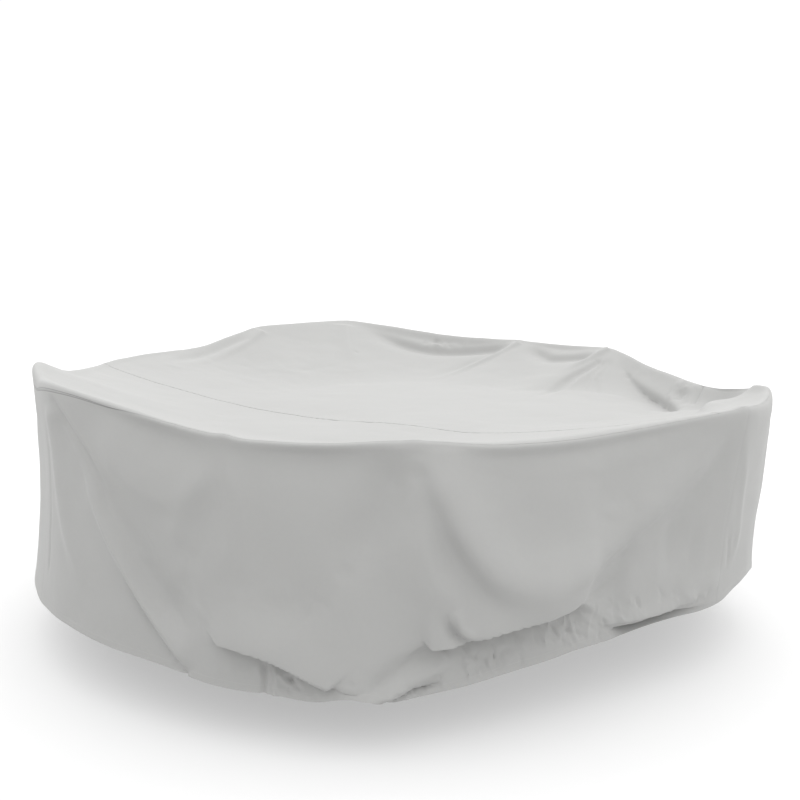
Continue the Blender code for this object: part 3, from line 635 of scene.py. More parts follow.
SKIRT_CREASES = (
    # from the left high point down to the right
    Crease(
        ((-138.6, 0.03), (-137.6, 0.07), (-133.2, 0.16), (-129.2, 0.26), (-127.2, 0.38)),
        -0.008, 0.016, 0.013,
    ),
    Crease(
        ((-128.2, 0.32), (-126.0, 0.45), (-122.6, 0.56), (-118.6, 0.64), (-115.2, 0.71)),
        -0.012, 0.014, 0.024, flank=Flank.CRISP, start=0.6, end=0.02,
    ),
    Crease(((-139.4, 0.05), (-139.0, 0.145), (-137.3, 0.41), (-131.9, 0.62)), 0.012, 0.046, 0.040),
    Crease(((-138.0, 0.08), (-134.6, 0.20), (-130.8, 0.32)), -0.010, 0.030, 0.030, start=0.2),
    Crease(
        ((-133.0, 0.20), (-131.2, 0.26), (-127.6, 0.385), (-124.0, 0.49), (-119.2, 0.60), (-114.4, 0.69)),
        0.018, 0.045, 0.022, start=0.4, end=0.1,
    ),
    Crease(
        ((-136.0, 0.08), (-133.2, 0.15), (-129.2, 0.27), (-124.2, 0.39), (-119.6, 0.510), (-113.3, 0.575)),
        -0.024, 0.090, 0.036, start=0.6, end=0.15,
    ),
    Crease(((-142.2, 0.10), (-143.6, 0.40), (-146.0, 0.64)), -0.004, 0.014, 0.012, end=0.1),
    # the left pouch's lower edge, and the pleat below it
    Crease(
        (
            (-112.5, 0.546), (-109.8, 0.554), (-107.2, 0.556), (-104.5, 0.567), (-101.2, 0.594),
            (-98.5, 0.625), (-96.8, 0.668),
        ),
        0.014, 0.060, 0.009, lip=0.026, start=0.15, end=0.1,
    ),
    Crease(((-105.4, 0.61), (-105.2, 0.66), (-105.3, 0.72)), -0.008, 0.007, 0.008, end=0.0),
    Crease(((-104.0, 0.61), (-103.8, 0.66), (-103.9, 0.72)), 0.007, 0.012, 0.007, end=0.0),
    # the slack cloth between the left high point and the first front one
    Crease(
        ((-132.0, 0.09), (-127.5, 0.155), (-123.2, 0.20), (-117.5, 0.21), (-113.0, 0.15), (-110.0, 0.06)),
        0.012, 0.110, 0.050,
    ),
    # from the first front high point, and the slack cloth between the two
    Crease(((-109.4, 0.02), (-114.8, 0.235), (-117.5, 0.365)), 0.008, 0.028, 0.034),
    Crease(((-109.0, 0.02), (-107.9, 0.225), (-110.9, 0.435)), 0.008, 0.036, 0.030),
    Crease(((-110.8, 0.13), (-112.2, 0.28), (-114.4, 0.42)), -0.004, 0.018, 0.018),
    Crease(((-103.5, 0.00), (-103.0, 0.30), (-102.0, 0.54)), -0.024, 0.110, 0.100, start=1.3, end=0.25),
    # the fan that opens below the second front high point
    Crease(
        ((-87.2, 0.02), (-87.6, 0.16), (-88.2, 0.315), (-89.6, 0.48), (-91.2, 0.64), (-92.0, 0.74)),
        0.056, 0.090, 0.090, start=1.6, end=0.0,
    ),
    Crease(((-88.0, 0.03), (-91.8, 0.22), (-97.0, 0.46)), -0.020, 0.045, 0.070, start=0.25, end=0.5),
    Crease(
        ((-87.0, 0.04), (-86.4, 0.20), (-85.8, 0.32), (-83.6, 0.41), (-79.5, 0.48)),
        0.020, 0.040, 0.080, start=0.5,
    ),
    # the swag between the second front high point and the right one
    Crease(
        (
            (-87.0, 0.03), (-85.2, 0.105), (-82.4, 0.21), (-79.0, 0.31), (-75.8, 0.37), (-70.8, 0.400),
            (-65.5, 0.385), (-60.0, 0.335), (-54.5, 0.27), (-49.5, 0.205), (-44.0, 0.130), (-38.6, 0.050),
        ),
        0.034, 0.085, 0.056, lip=0.006, start=0.12, end=0.25,
    ),
    Crease(
        ((-86.9, 0.05), (-86.0, 0.12), (-84.4, 0.20), (-81.8, 0.31), (-77.6, 0.42), (-72.0, 0.48)),
        -0.015, 0.026, 0.032, start=0.15, end=0.5,
    ),
    # the hook and the notch left of the right pouch
    Crease(
        ((-83.4, 0.445), (-82.8, 0.480), (-81.4, 0.503), (-78.4, 0.516), (-75.5, 0.512)),
        -0.022, 0.010, 0.030, flank=Flank.CRISP, start=0.4, end=0.4,
    ),
    Crease(((-82.2, 0.44), (-81.2, 0.49), (-79.0, 0.512)), 0.008, 0.016, 0.010),
    Crease(((-93.0, 0.690), (-90.5, 0.645), (-87.5, 0.600), (-84.0, 0.570)), -0.012, 0.026, 0.020),
    Crease(((-92.0, 0.710), (-88.5, 0.678), (-84.5, 0.636), (-81.0, 0.595)), 0.014, 0.026, 0.018),
    # the right pouch's lower edge
    Crease(
        (
            (-86.4, 0.534), (-83.8, 0.531), (-80.2, 0.518), (-77.5, 0.507), (-74.2, 0.495),
            (-69.5, 0.477), (-65.5, 0.472), (-62.5, 0.466),
        ),
        0.014, 0.055, 0.009, lip=0.030, start=0.10, end=0.35,
    ),
    Crease(
        ((-67.0, 0.500), (-63.4, 0.495), (-60.4, 0.480), (-57.5, 0.458), (-54.8, 0.435)),
        -0.009, 0.026, 0.020, end=0.5,
    ),
    # from the right high point down to the left
    Crease(((-38.4, 0.05), (-40.6, 0.16), (-44.5, 0.28), (-50.0, 0.40), (-57.0, 0.47)), -0.010, 0.050, 0.046),
    Crease(((-50.0, 0.42), (-45.0, 0.42), (-40.0, 0.43)), -0.010, 0.090, 0.070),
    Crease(((-37.2, 0.03), (-34.7, 0.21), (-33.4, 0.33), (-32.6, 0.445), (-33.8, 0.56)), 0.006, 0.024, 0.016),
    Crease(((-36.2, 0.36), (-35.0, 0.46), (-34.6, 0.54)), -0.005, 0.007, 0.010),
    Crease(((-46.0, 0.570), (-41.0, 0.570), (-35.5, 0.545)), 0.010, 0.050, 0.036),
    # the slit above the hem where it is drawn tight
    Crease(
        ((-60.0, 0.582), (-57.0, 0.586), (-52.0, 0.594), (-48.0, 0.599), (-44.0, 0.597), (-41.0, 0.599)),
        0.008, 0.030, 0.006, lip=0.003, start=0.15, end=0.15,
    ),
    Crease(
        ((-92.8, 0.712), (-89.5, 0.700), (-86.0, 0.688), (-82.5, 0.665)),
        -0.018, 0.008, 0.010, flank=Flank.CRISP,
    ),
    # round the sides and back, from each high point towards the spans beside it
    Crease(((-15.5, 0.04), (-11.0, 0.20), (-3.0, 0.42)), 0.014, 0.045, 0.055, end=0.7),
    Crease(((-15.0, 0.04), (-18.5, 0.22), (-20.0, 0.48)), 0.009, 0.045, 0.045),
    Crease(((-12.0, 0.12), (-6.0, 0.28), (3.0, 0.42)), -0.014, 0.060, 0.040, end=0.6),
    Crease(((38.5, 0.03), (35.0, 0.20), (27.0, 0.40), (16.0, 0.50)), 0.018, 0.045, 0.060, end=0.7),
    Crease(((36.5, 0.10), (30.0, 0.26), (20.0, 0.40)), -0.016, 0.050, 0.060, end=0.6),
    Crease(((39.5, 0.03), (42.0, 0.22), (44.0, 0.50)), 0.012, 0.040, 0.040),
    Crease(((50.0, 0.16), (50.0, 0.56)), -0.012, 0.055, 0.055),
    Crease(((61.0, 0.03), (57.5, 0.22), (55.0, 0.46)), 0.011, 0.035, 0.045),
    Crease(((62.0, 0.03), (66.0, 0.22), (73.0, 0.42), (80.0, 0.50)), 0.018, 0.050, 0.060, end=0.7),
    Crease(((64.0, 0.10), (70.0, 0.26), (79.0, 0.38)), -0.016, 0.060, 0.040, end=0.6),
    # a known fault: these reach past azimuth 90, where the count starts again, so most of them never reach the
    # cloth, and the first two and the wrinkles there leave a step in it at 90
    Crease(((100.0, 0.03), (97.0, 0.22), (90.0, 0.42), (83.0, 0.52)), 0.018, 0.050, 0.060, end=0.7),
    Crease(((98.0, 0.10), (92.0, 0.26), (84.0, 0.38)), -0.014, 0.040, 0.060, end=0.6),
    Crease(((101.0, 0.03), (104.0, 0.25), (108.0, 0.55)), 0.013, 0.040, 0.050),
    Crease(((110.0, 0.20), (111.5, 0.55)), -0.012, 0.045, 0.045),
    Crease(((120.5, 0.03), (117.0, 0.25), (114.0, 0.50)), 0.012, 0.040, 0.045),
    Crease(((121.5, 0.03), (126.0, 0.22), (134.0, 0.44), (142.0, 0.52)), 0.018, 0.050, 0.060, end=0.7),
    Crease(((124.0, 0.12), (131.0, 0.28), (140.0, 0.40)), -0.015, 0.060, 0.040, end=0.6),
    Crease(((157.0, 0.03), (151.0, 0.25), (145.0, 0.45)), 0.013, 0.045, 0.050, end=0.7),
    # on round the back, counted from -270
    Crease(((-202.5, 0.03), (-198.0, 0.25), (-191.0, 0.45)), 0.013, 0.045, 0.050, end=0.7),
    Crease(((-199.0, 0.14), (-192.0, 0.30), (-184.0, 0.44)), -0.012, 0.055, 0.040, end=0.6),
    Crease(((-166.0, 0.06), (-171.0, 0.25), (-178.0, 0.50)), 0.014, 0.045, 0.050),
)

SKIRT_CRINKLES = (
    Crinkles((-66.0, 0.575), (0.20, 0.044), 46, (0.04, 0.09), 60.0, 40.0, 0.0050, 0.0070, 11),
    Crinkles((-78.0, 0.620), (0.14, 0.038), 34, (0.03, 0.08), 60.0, 45.0, 0.0050, 0.0068, 12),
    Crinkles((-87.0, 0.685), (0.08, 0.018), 20, (0.02, 0.05), 50.0, 50.0, 0.0046, 0.0062, 13),
    Crinkles((-57.0, 0.560), (0.16, 0.040), 34, (0.04, 0.09), 60.0, 40.0, 0.0026, 0.0070, 14),
    Crinkles((-45.0, 0.590), (0.12, 0.030), 22, (0.03, 0.07), 70.0, 40.0, 0.0024, 0.0070, 15),
    Crinkles((-103.0, 0.670), (0.08, 0.030), 20, (0.03, 0.06), 50.0, 40.0, 0.0044, 0.0066, 16),
    Crinkles((-116.0, 0.690), (0.03, 0.020), 10, (0.02, 0.035), 50.0, 40.0, 0.0030, 0.0065, 17),
    Crinkles((-98.0, 0.42), (0.28, 0.13), 26, (0.05, 0.12), 75.0, 60.0, 0.0016, 0.014, 18, Flank.SOFT),
    Crinkles((-120.0, 0.36), (0.22, 0.18), 26, (0.05, 0.14), 60.0, 30.0, 0.0018, 0.014, 19, Flank.SOFT),
    Crinkles((-60.0, 0.26), (0.28, 0.10), 22, (0.06, 0.16), 20.0, 50.0, 0.0016, 0.016, 21, Flank.SOFT),
    Crinkles((-100.0, 0.67), (0.30, 0.03), 16, (0.02, 0.05), 85.0, 25.0, 0.0020, 0.009, 22, Flank.SOFT),
    Crinkles((60.0, 0.60), (1.20, 0.04), 70, (0.03, 0.08), 80.0, 30.0, 0.0028, 0.011, 20, Flank.SOFT),
    Crinkles((60.0, 0.34), (1.30, 0.14), 60, (0.06, 0.16), 70.0, 50.0, 0.0020, 0.016, 23, Flank.SOFT),
    Crinkles((-180.0, 0.60), (0.40, 0.05), 26, (0.03, 0.08), 80.0, 30.0, 0.0028, 0.011, 24, Flank.SOFT),
)

TOP_CREASES = (
    # the sag in front of the centre
    Crease(((168.0, 0.62), (-90.0, 0.40)), -0.014, 0.20, 0.20, start=0.5, end=0.5),
    # the gutters behind the back rim, and the foot of the wall inside the right rim
    Crease(
        (
            (99.0, 1.29), (93.4, 1.241), (88.0, 1.190), (82.6, 1.160), (78.0, 1.162), (73.3, 1.174),
            (67.6, 1.185), (61.5, 1.205),
        ),
        -0.032, 0.030, 0.060, start=0.35, end=0.12,
    ),
    Crease(
        ((58.5, 1.205), (54.0, 1.155), (49.9, 1.120), (43.9, 1.146), (39.0, 1.190)),
        -0.020, 0.026, 0.050, end=0.2,
    ),
    Crease(
        (
            (35.5, 1.215), (29.5, 1.150), (23.5, 1.105), (16.9, 1.083), (9.0, 1.075), (1.6, 1.065),
            (-6.0, 1.05),
        ),
        -0.036, 0.018, 0.060, flank=Flank.CRISP, start=0.6, end=0.2,
    ),
    # from the high points at the back and the right
    Crease(((60.8, 1.235), (67.3, 0.972), (76.6, 0.737)), 0.011, 0.014, 0.022, start=0.02, end=0.6),
    Crease(((63.5, 1.18), (70.5, 0.960), (80.0, 0.740)), -0.010, 0.022, 0.034, start=0.2, end=0.6),
    Crease(((37.4, 1.19), (37.0, 1.100), (36.4, 0.920), (23.5, 0.588)), -0.013, 0.030, 0.014, end=0.35),
    Crease(((38.8, 1.25), (40.0, 1.120), (41.0, 0.960)), 0.012, 0.014, 0.030, start=0.02, end=0.6),
    Crease(((36.2, 1.20), (33.7, 1.027), (24.5, 0.850)), -0.004, 0.012, 0.012, start=0.1, end=0.5),
    Crease(((35.4, 1.19), (30.0, 1.000), (15.0, 0.880)), -0.004, 0.012, 0.012, start=0.1, end=0.5),
    Crease(((36.8, 1.20), (34.6, 0.960), (26.0, 0.700)), 0.005, 0.016, 0.016, start=0.1, end=0.5),
    Crease(((101.0, 1.30), (101.8, 1.04), (103.0, 0.80)), 0.010, 0.030, 0.050, start=0.05, end=0.6),
    Crease(((100.9, 1.030), (99.8, 1.015)), -0.004, 0.010, 0.010, start=0.4, end=0.4),
    Crease(((120.8, 1.24), (128.8, 1.15), (146.8, 1.09)), 0.010, 0.024, 0.040, start=0.05, end=0.6),
    Crease(((124.0, 1.22), (135.0, 1.18), (150.0, 1.16)), -0.010, 0.030, 0.030, start=0.2, end=0.4),
    # the shelf inside the front right rim
    Crease(((-32.0, 1.15), (-23.8, 1.16), (-17.0, 1.24), (-14.8, 1.31)), 0.024, 0.018, 0.050, end=0.1),
    Crease(
        ((5.0, 1.12), (-1.0, 1.155), (-7.0, 1.185), (-12.0, 1.200), (-17.0, 1.190), (-23.0, 1.145)),
        -0.036, 0.070, 0.090, start=0.4,
    ),
    Crease(((-38.5, 1.265), (-36.8, 1.275), (-35.4, 1.290)), -0.010, 0.007, 0.010, flank=Flank.CRISP),
    Crease(((4.6, 1.21), (2.2, 1.160), (-1.0, 1.12)), -0.010, 0.010, 0.012, flank=Flank.CRISP, start=0.05),
    Crease(((10.0, 1.14), (5.0, 1.125), (0.0, 1.10)), -0.008, 0.030, 0.030),
    Crease(((14.0, 1.16), (8.0, 1.165), (3.5, 1.17)), 0.005, 0.026, 0.026),
)

TOP_CRINKLES = (
    Crinkles((36.5, 1.14), (0.03, 0.03), 9, (0.05, 0.10), 75.0, 25.0, 0.0014, 0.008, 31),
    Crinkles((79.0, 1.215), (0.08, 0.03), 20, (0.03, 0.06), 0.0, 80.0, 0.0050, 0.010, 32),
    Crinkles((8.0, 1.13), (0.05, 0.08), 20, (0.04, 0.09), 100.0, 60.0, 0.0036, 0.010, 33),
    Crinkles((27.0, 1.15), (0.04, 0.06), 12, (0.03, 0.08), 60.0, 50.0, 0.0018, 0.010, 36),
    Crinkles((-75.0, 0.35), (0.20, 0.06), 12, (0.05, 0.12), 0.0, 20.0, 0.0014, 0.010, 34, Flank.SOFT),
    Crinkles((-60.0, 1.05), (0.30, 0.05), 14, (0.06, 0.16), -10.0, 12.0, 0.0016, 0.010, 35, Flank.SOFT),
    Crinkles((130.0, 0.9), (0.40, 0.20), 24, (0.08, 0.20), 20.0, 60.0, 0.0018, 0.020, 37, Flank.SOFT),
)


@dataclass(frozen=True)
class Value:
    """A shader value with the usual arithmetic."""

    nodes: "Nodes"
    socket: bpy.types.NodeSocket

    def maths(self, operation: str, *others: "Value | Number") -> "Value":
        """Adds a Math node with this value first."""
        return self.nodes.maths(operation, self, *others)

    def __add__(self, other: "Value | Number") -> "Value":
        """Sum."""
        return self.maths("ADD", other)

    __radd__ = __add__

    def __mul__(self, other: "Value | Number") -> "Value":
        """Product."""
        return self.maths("MULTIPLY", other)

    __rmul__ = __mul__

    def __sub__(self, other: "Value | Number") -> "Value":
        """Difference."""
        return self.maths("SUBTRACT", other)

    def __rsub__(self, other: Number) -> "Value":
        """Difference from a number."""
        return self.nodes.maths("SUBTRACT", other, self)

    def __truediv__(self, other: "Value | Number") -> "Value":
        """Quotient."""
        return self.maths("DIVIDE", other)

    def __rtruediv__(self, other: Number) -> "Value":
        """Quotient of a number by the value."""
        return self.nodes.maths("DIVIDE", other, self)

    def sine(self) -> "Value":
        """Sine."""
        return self.maths("SINE")

    def size(self) -> "Value":
        """Absolute value."""
        return self.maths("ABSOLUTE")

    def below(self, limit: Number, soft: float) -> "Value":
        """1 where the value is below a limit and 0 above it, with a soft change between."""
        return ((limit - self) / soft).clamped()

    def clamped(self) -> "Value":
        """The value held between 0 and 1."""
        return self.maths("MINIMUM", 1.0).maths("MAXIMUM", 0.0)


class Nodes:
    """The nodes of a material or of the world, with one method that adds a node."""

    def __init__(self, tree: bpy.types.NodeTree) -> None:
        """Empties the tree that it is to fill."""
        self.tree = tree
        tree.nodes.clear()

    def add(self, kind: str, settings: dict | None = None, **inputs: object) -> bpy.types.Node:
        """Adds a node.

        Args:
            kind: The node's type.
            settings: Its own settings, set before its inputs. A ramp's stops are pairs of position and level.
            **inputs: Value or link for each named socket, with _ for a space, or _0, _1 for a numbered one.

        Returns:
            The node.
        """
        node = self.tree.nodes.new(kind)
        for name, value in (settings or {}).items():
            if name == "stops":
                self.set_stops(node.color_ramp.elements, value)
            else:
                setattr(node, name, value)
        for name, value in inputs.items():
            key = int(name[1:]) if name[0] == "_" else name.replace("_", " ")
            socket = node.inputs[key]
            if isinstance(value, Value):
                self.tree.links.new(value.socket, socket)
            elif isinstance(value, bpy.types.NodeSocket):
                self.tree.links.new(value, socket)
            else:
                socket.default_value = value
        return node

    @staticmethod
    def set_stops(stops: bpy.types.ColorRampElements, levels: Sequence[Pair]) -> None:
        """Gives a ramp its grey levels.

        Args:
            stops: The ramp's stops.
            levels: Position and level of each, by rising position.
        """
        while len(stops) < len(levels):
            stops.new(1.0)
        for stop, (position, level) in zip(stops, levels):
            stop.position = position
            stop.color = (level, level, level, 1.0)

    def maths(self, operation: str, *values: Value | Number) -> Value:
        """Adds a Math node and returns its value."""
        inputs = {f"_{number}": value for number, value in enumerate(values)}
        return Value(self, self.add("ShaderNodeMath", {"operation": operation}, **inputs).outputs[0])

    def attribute(self, name: str) -> Value:
        """A number stored on the mesh."""
        return Value(self, self.add("ShaderNodeAttribute", {"attribute_name": name}).outputs["Fac"])

    def noise(self, place: bpy.types.NodeSocket, scale: float, detail: float, roughness: float) -> Value:
        """A noise that changes with a place."""
        node = self.add("ShaderNodeTexNoise", Vector=place, Scale=scale, Detail=detail, Roughness=roughness)
        return Value(self, node.outputs["Fac"])


def new_material(name: str) -> tuple[bpy.types.Material, Nodes]:
    """Makes a material.

    Args:
        name: Its name.

    Returns:
        The material, and its nodes to be filled.
    """
    material = bpy.data.materials.new(name)
    material.use_nodes = True
    return material, Nodes(material.node_tree)


@dataclass(frozen=True)
class CoatedCloth:
    """Light grey woven polyester with a thin matt coating."""

    name: str = "coated_cloth"
    colour: tuple[float, float, float] = (0.328, 0.328, 0.322)
    roughness: float = 0.74
    roughness_change: float = 0.10  # with the mottle
    sheen: float = 0.12
    sheen_roughness: float = 0.5
    specular: float = 0.32
    mottle: tuple[float, float, float] = (3.2, 4.0, 0.55)  # scale, detail and roughness of the noise
    mottle_shade: float = 0.05
    grain: tuple[float, float, float] = (95.0, 3.0, 0.6)
    grain_shade: float = 0.035
    grain_height: float = 0.00035
    thread_pitch: float = 0.0014
    weave_height: float = 0.00005
    bump: float = 0.55
    # how much the painted shadow line along a seam darkens the colour
    painted_seam_shadow: float = 0.42
    painted_seam_shadow_width: Pair = (0.0020, 0.0016)  # half width of the painted shadow line along a seam, and how much of it is soft
    stitch_length: float = 0.0038
    stitch_thread: Pair = (0.0009, 0.0005)  # half width of the thread, and how much of it is soft
    stitch_share: float = 0.75  # the more, the longer the stitches against the gaps between them
    stitch_light: float = 0.10
    stitch_height: float = 0.0005
    stitch_row: float = 0.0045  # distance of a row of stitches from the edge of the lap
    stitch_row_inner: float = 0.0105
    hem_row: float = 0.020  # distance of the hem's stitching from its edge

    def build(self) -> bpy.types.Material:
        """Builds the material.

        Returns:
            The finished material.
        """
        material, nodes = new_material(self.name)
        cut = nodes.add("ShaderNodeUVMap", {"uv_map": "cut"}).outputs["UV"]
        place = nodes.add("ShaderNodeTexCoord").outputs["Object"]
        parts = nodes.add("ShaderNodeSeparateXYZ", Vector=cut)
        u, v = Value(nodes, parts.outputs["X"]), Value(nodes, parts.outputs["Y"])
        turn = 2.0 * math.pi / self.thread_pitch
        weave = (u * turn).sine() * (v * turn).sine()
        stitch = self.stitches(nodes)
        # painted shadow: a dark line along each seam that stands in for the shade of the lap
        seam = nodes.attribute("painted_seam_shadow_away").size().below(*self.painted_seam_shadow_width)
        mottle = nodes.noise(place, *self.mottle)
        grain = nodes.noise(place, *self.grain)
        shade = mottle * self.mottle_shade + grain * self.grain_shade
        middle = (self.mottle_shade + self.grain_shade) / 2.0
        level = shade - middle + 1.0 - seam * self.painted_seam_shadow + stitch * self.stitch_light
        grey = nodes.add("ShaderNodeCombineXYZ", X=level, Y=level, Z=level).outputs[0]
        tint = nodes.add("ShaderNodeVectorMath", {"operation": "MULTIPLY"}, _0=grey, _1=self.colour)
        height = weave * self.weave_height + grain * self.grain_height + stitch * self.stitch_height
        bump = nodes.add("ShaderNodeBump", Height=height, Distance=1.0, Strength=self.bump)
        shader = nodes.add(
            "ShaderNodeBsdfPrincipled",
            Base_Color=tint.outputs[0],
            Roughness=mottle * self.roughness_change + (self.roughness - self.roughness_change / 2.0),
            Normal=bump.outputs[0],
            Sheen_Weight=self.sheen,
            Sheen_Roughness=self.sheen_roughness,
            Specular_IOR_Level=self.specular,
        )
        nodes.add("ShaderNodeOutputMaterial", Surface=shader.outputs[0])
        return material

    def stitches(self, nodes: Nodes) -> Value:
        """Height of the sewing thread, from 0 to 1.

        Args:
            nodes: The material's nodes.

        Returns:
            The value.
        """
        away, along = nodes.attribute("stitch_away"), nodes.attribute("stitch_along")
        hem, hem_along = nodes.attribute("hem_away"), nodes.attribute("hem_along")
        turn = 2.0 * math.pi / self.stitch_length
        total = None
        for distance, length, row in (
            (away, along, self.stitch_row),
            (away, along, self.stitch_row_inner),
            (hem, hem_along, self.hem_row),
        ):
            thread = (distance - row).size().below(*self.stitch_thread)
            dash = ((length * turn).sine() + self.stitch_share).clamped()
            total = thread * dash if total is None else total + thread * dash
        return total


@dataclass(frozen=True)
class PlainFinish:
    """A plain matt finish for the studio."""

    name: str
    colour: tuple[float, float, float]
    glow: float = 0.0  # white light that it gives itself, as a lit floor does
    roughness: float = 0.9

    def build(self) -> bpy.types.Material:
        """Builds the material.

        Returns:
            The finished material.
        """
        material, nodes = new_material(self.name)
        shader = nodes.add(
            "ShaderNodeBsdfPrincipled",
            Base_Color=(*self.colour, 1.0),
            Roughness=self.roughness,
            Emission_Color=(1.0, 1.0, 1.0, 1.0),
            Emission_Strength=self.glow,
        )
        nodes.add("ShaderNodeOutputMaterial", Surface=shader.outputs[0])
        return material


@dataclass
class Cloth:
    """An open surface on its way to becoming a sheet."""

    points: Array
    faces: list[Quad]
    cut: Array  # place on the flat cloth, in metres
    marks: dict[str, Array]  # numbers for the finish, by name
    thickness: float = SHEET
    sharp_edge: float = 50.0  # degrees between faces past which their edge stays sharp

    def trimmed(self, kept: Array) -> "Cloth":
        """The part of the cloth where a value is positive, cut where the value is 0.

        Args:
            kept: The value at each point.

        Returns:
            The trimmed cloth.
        """
        columns = np.column_stack([self.points, self.cut, *self.marks.values()])
        first_mark = columns.shape[1] - len(self.marks)
        rows = list(columns)
        crossings: dict[tuple[int, int], int] = {}

        def crossing(a: int, b: int) -> int:
            """Finds where a side is cut.

            Args:
                a: Number of its first point.
                b: Number of its last point.

            Returns:
                Number of the point where it is cut.
            """
            key = (min(a, b), max(a, b))
            if key not in crossings:
                share = kept[key[0]] / (kept[key[0]] - kept[key[1]])
                crossings[key] = len(rows)
                rows.append(columns[key[0]] * (1.0 - share) + columns[key[1]] * share)
            return crossings[key]

        faces = []
        inside = kept > 0.0
        for face in self.faces:
            held = inside[list(face)]
            if held.all():
                faces.append(face)
            elif held.any():
                corners = []
                for a, b in zip(face, face[1:] + face[:1]):
                    if inside[a]:
                        corners.append(a)
                    if inside[a] != inside[b]:
                        corners.append(crossing(a, b))
                faces.append(tuple(corners))
        used = np.unique(np.concatenate([np.array(face) for face in faces]))
        number = np.full(len(rows), -1)
        number[used] = np.arange(len(used))
        remaining = np.array(rows)[used]
        marks = {name: remaining[:, first_mark + i] for i, name in enumerate(self.marks)}
        faces = [tuple(int(number[corner]) for corner in face) for face in faces]
        return Cloth(remaining[:, :3], faces, remaining[:, 3:first_mark], marks)

    def sheet(self, name: str, finish: bpy.types.Material) -> bpy.types.Object:
        """Makes the mesh and gives it its thickness.

        Args:
            name: Name of the object.
            finish: Its material.

        Returns:
            The object.
        """
        mesh = bpy.data.meshes.new(name)
        mesh.from_pydata(self.points.tolist(), [], self.faces)
        layer = mesh.uv_layers.new(name="cut")
        corners = np.empty(len(mesh.loops), dtype=int)
        mesh.loops.foreach_get("vertex_index", corners)
        layer.data.foreach_set("uv", self.cut[corners].astype(np.float32).ravel())
        for mark, values in self.marks.items():
            stored = mesh.attributes.new(mark, "FLOAT", "POINT")
            stored.data.foreach_set("value", values.astype(np.float32))
        mesh.materials.append(finish)
        piece = bpy.data.objects.new(name, mesh)
        bpy.context.collection.objects.link(piece)
        bpy.ops.object.select_all(action="DESELECT")
        piece.select_set(True)
        bpy.context.view_layer.objects.active = piece
        solid = piece.modifiers.new("thickness", "SOLIDIFY")
        solid.thickness = self.thickness
        solid.offset = -1.0
        bpy.ops.object.modifier_apply(modifier=solid.name)
        bpy.ops.object.shade_smooth()
        bpy.ops.object.shade_smooth_by_angle(angle=math.radians(self.sharp_edge))
        return piece


def strip(above: int, above_cells: int, below: int, below_cells: int, spare: int) -> list[Quad]:
    """Faces between two rows of points.

    Args:
        above: Number of the first point of the upper or inner row.
        above_cells: How many cells that row has, and 1 for the single point in the middle of a ring.
        below: Number of the first point of the lower or outer row.
        below_cells: How many cells that row has, the same or a multiple.
        spare: Points that a row has past its cells, 1 for an open row and 0 for a ring.

    Returns:
        The faces.
    """
    faces: list[Quad] = []
    several = below_cells // above_cells
    half = several // 2
    for i in range(above_cells):
        a, b = above + i, above + (i + 1) % (above_cells + spare)
        chain = [below + (i * several + j) % (below_cells + spare) for j in range(several + 1)]
        if several == 1:
            faces.append((a, chain[0], chain[1], b))
            continue
        faces += [(a, chain[j], chain[j + 1]) for j in range(half)]
        if a != b:
            faces.append((a, chain[half], b))
        faces += [(b, chain[j], chain[j + 1]) for j in range(half, several)]
    return faces


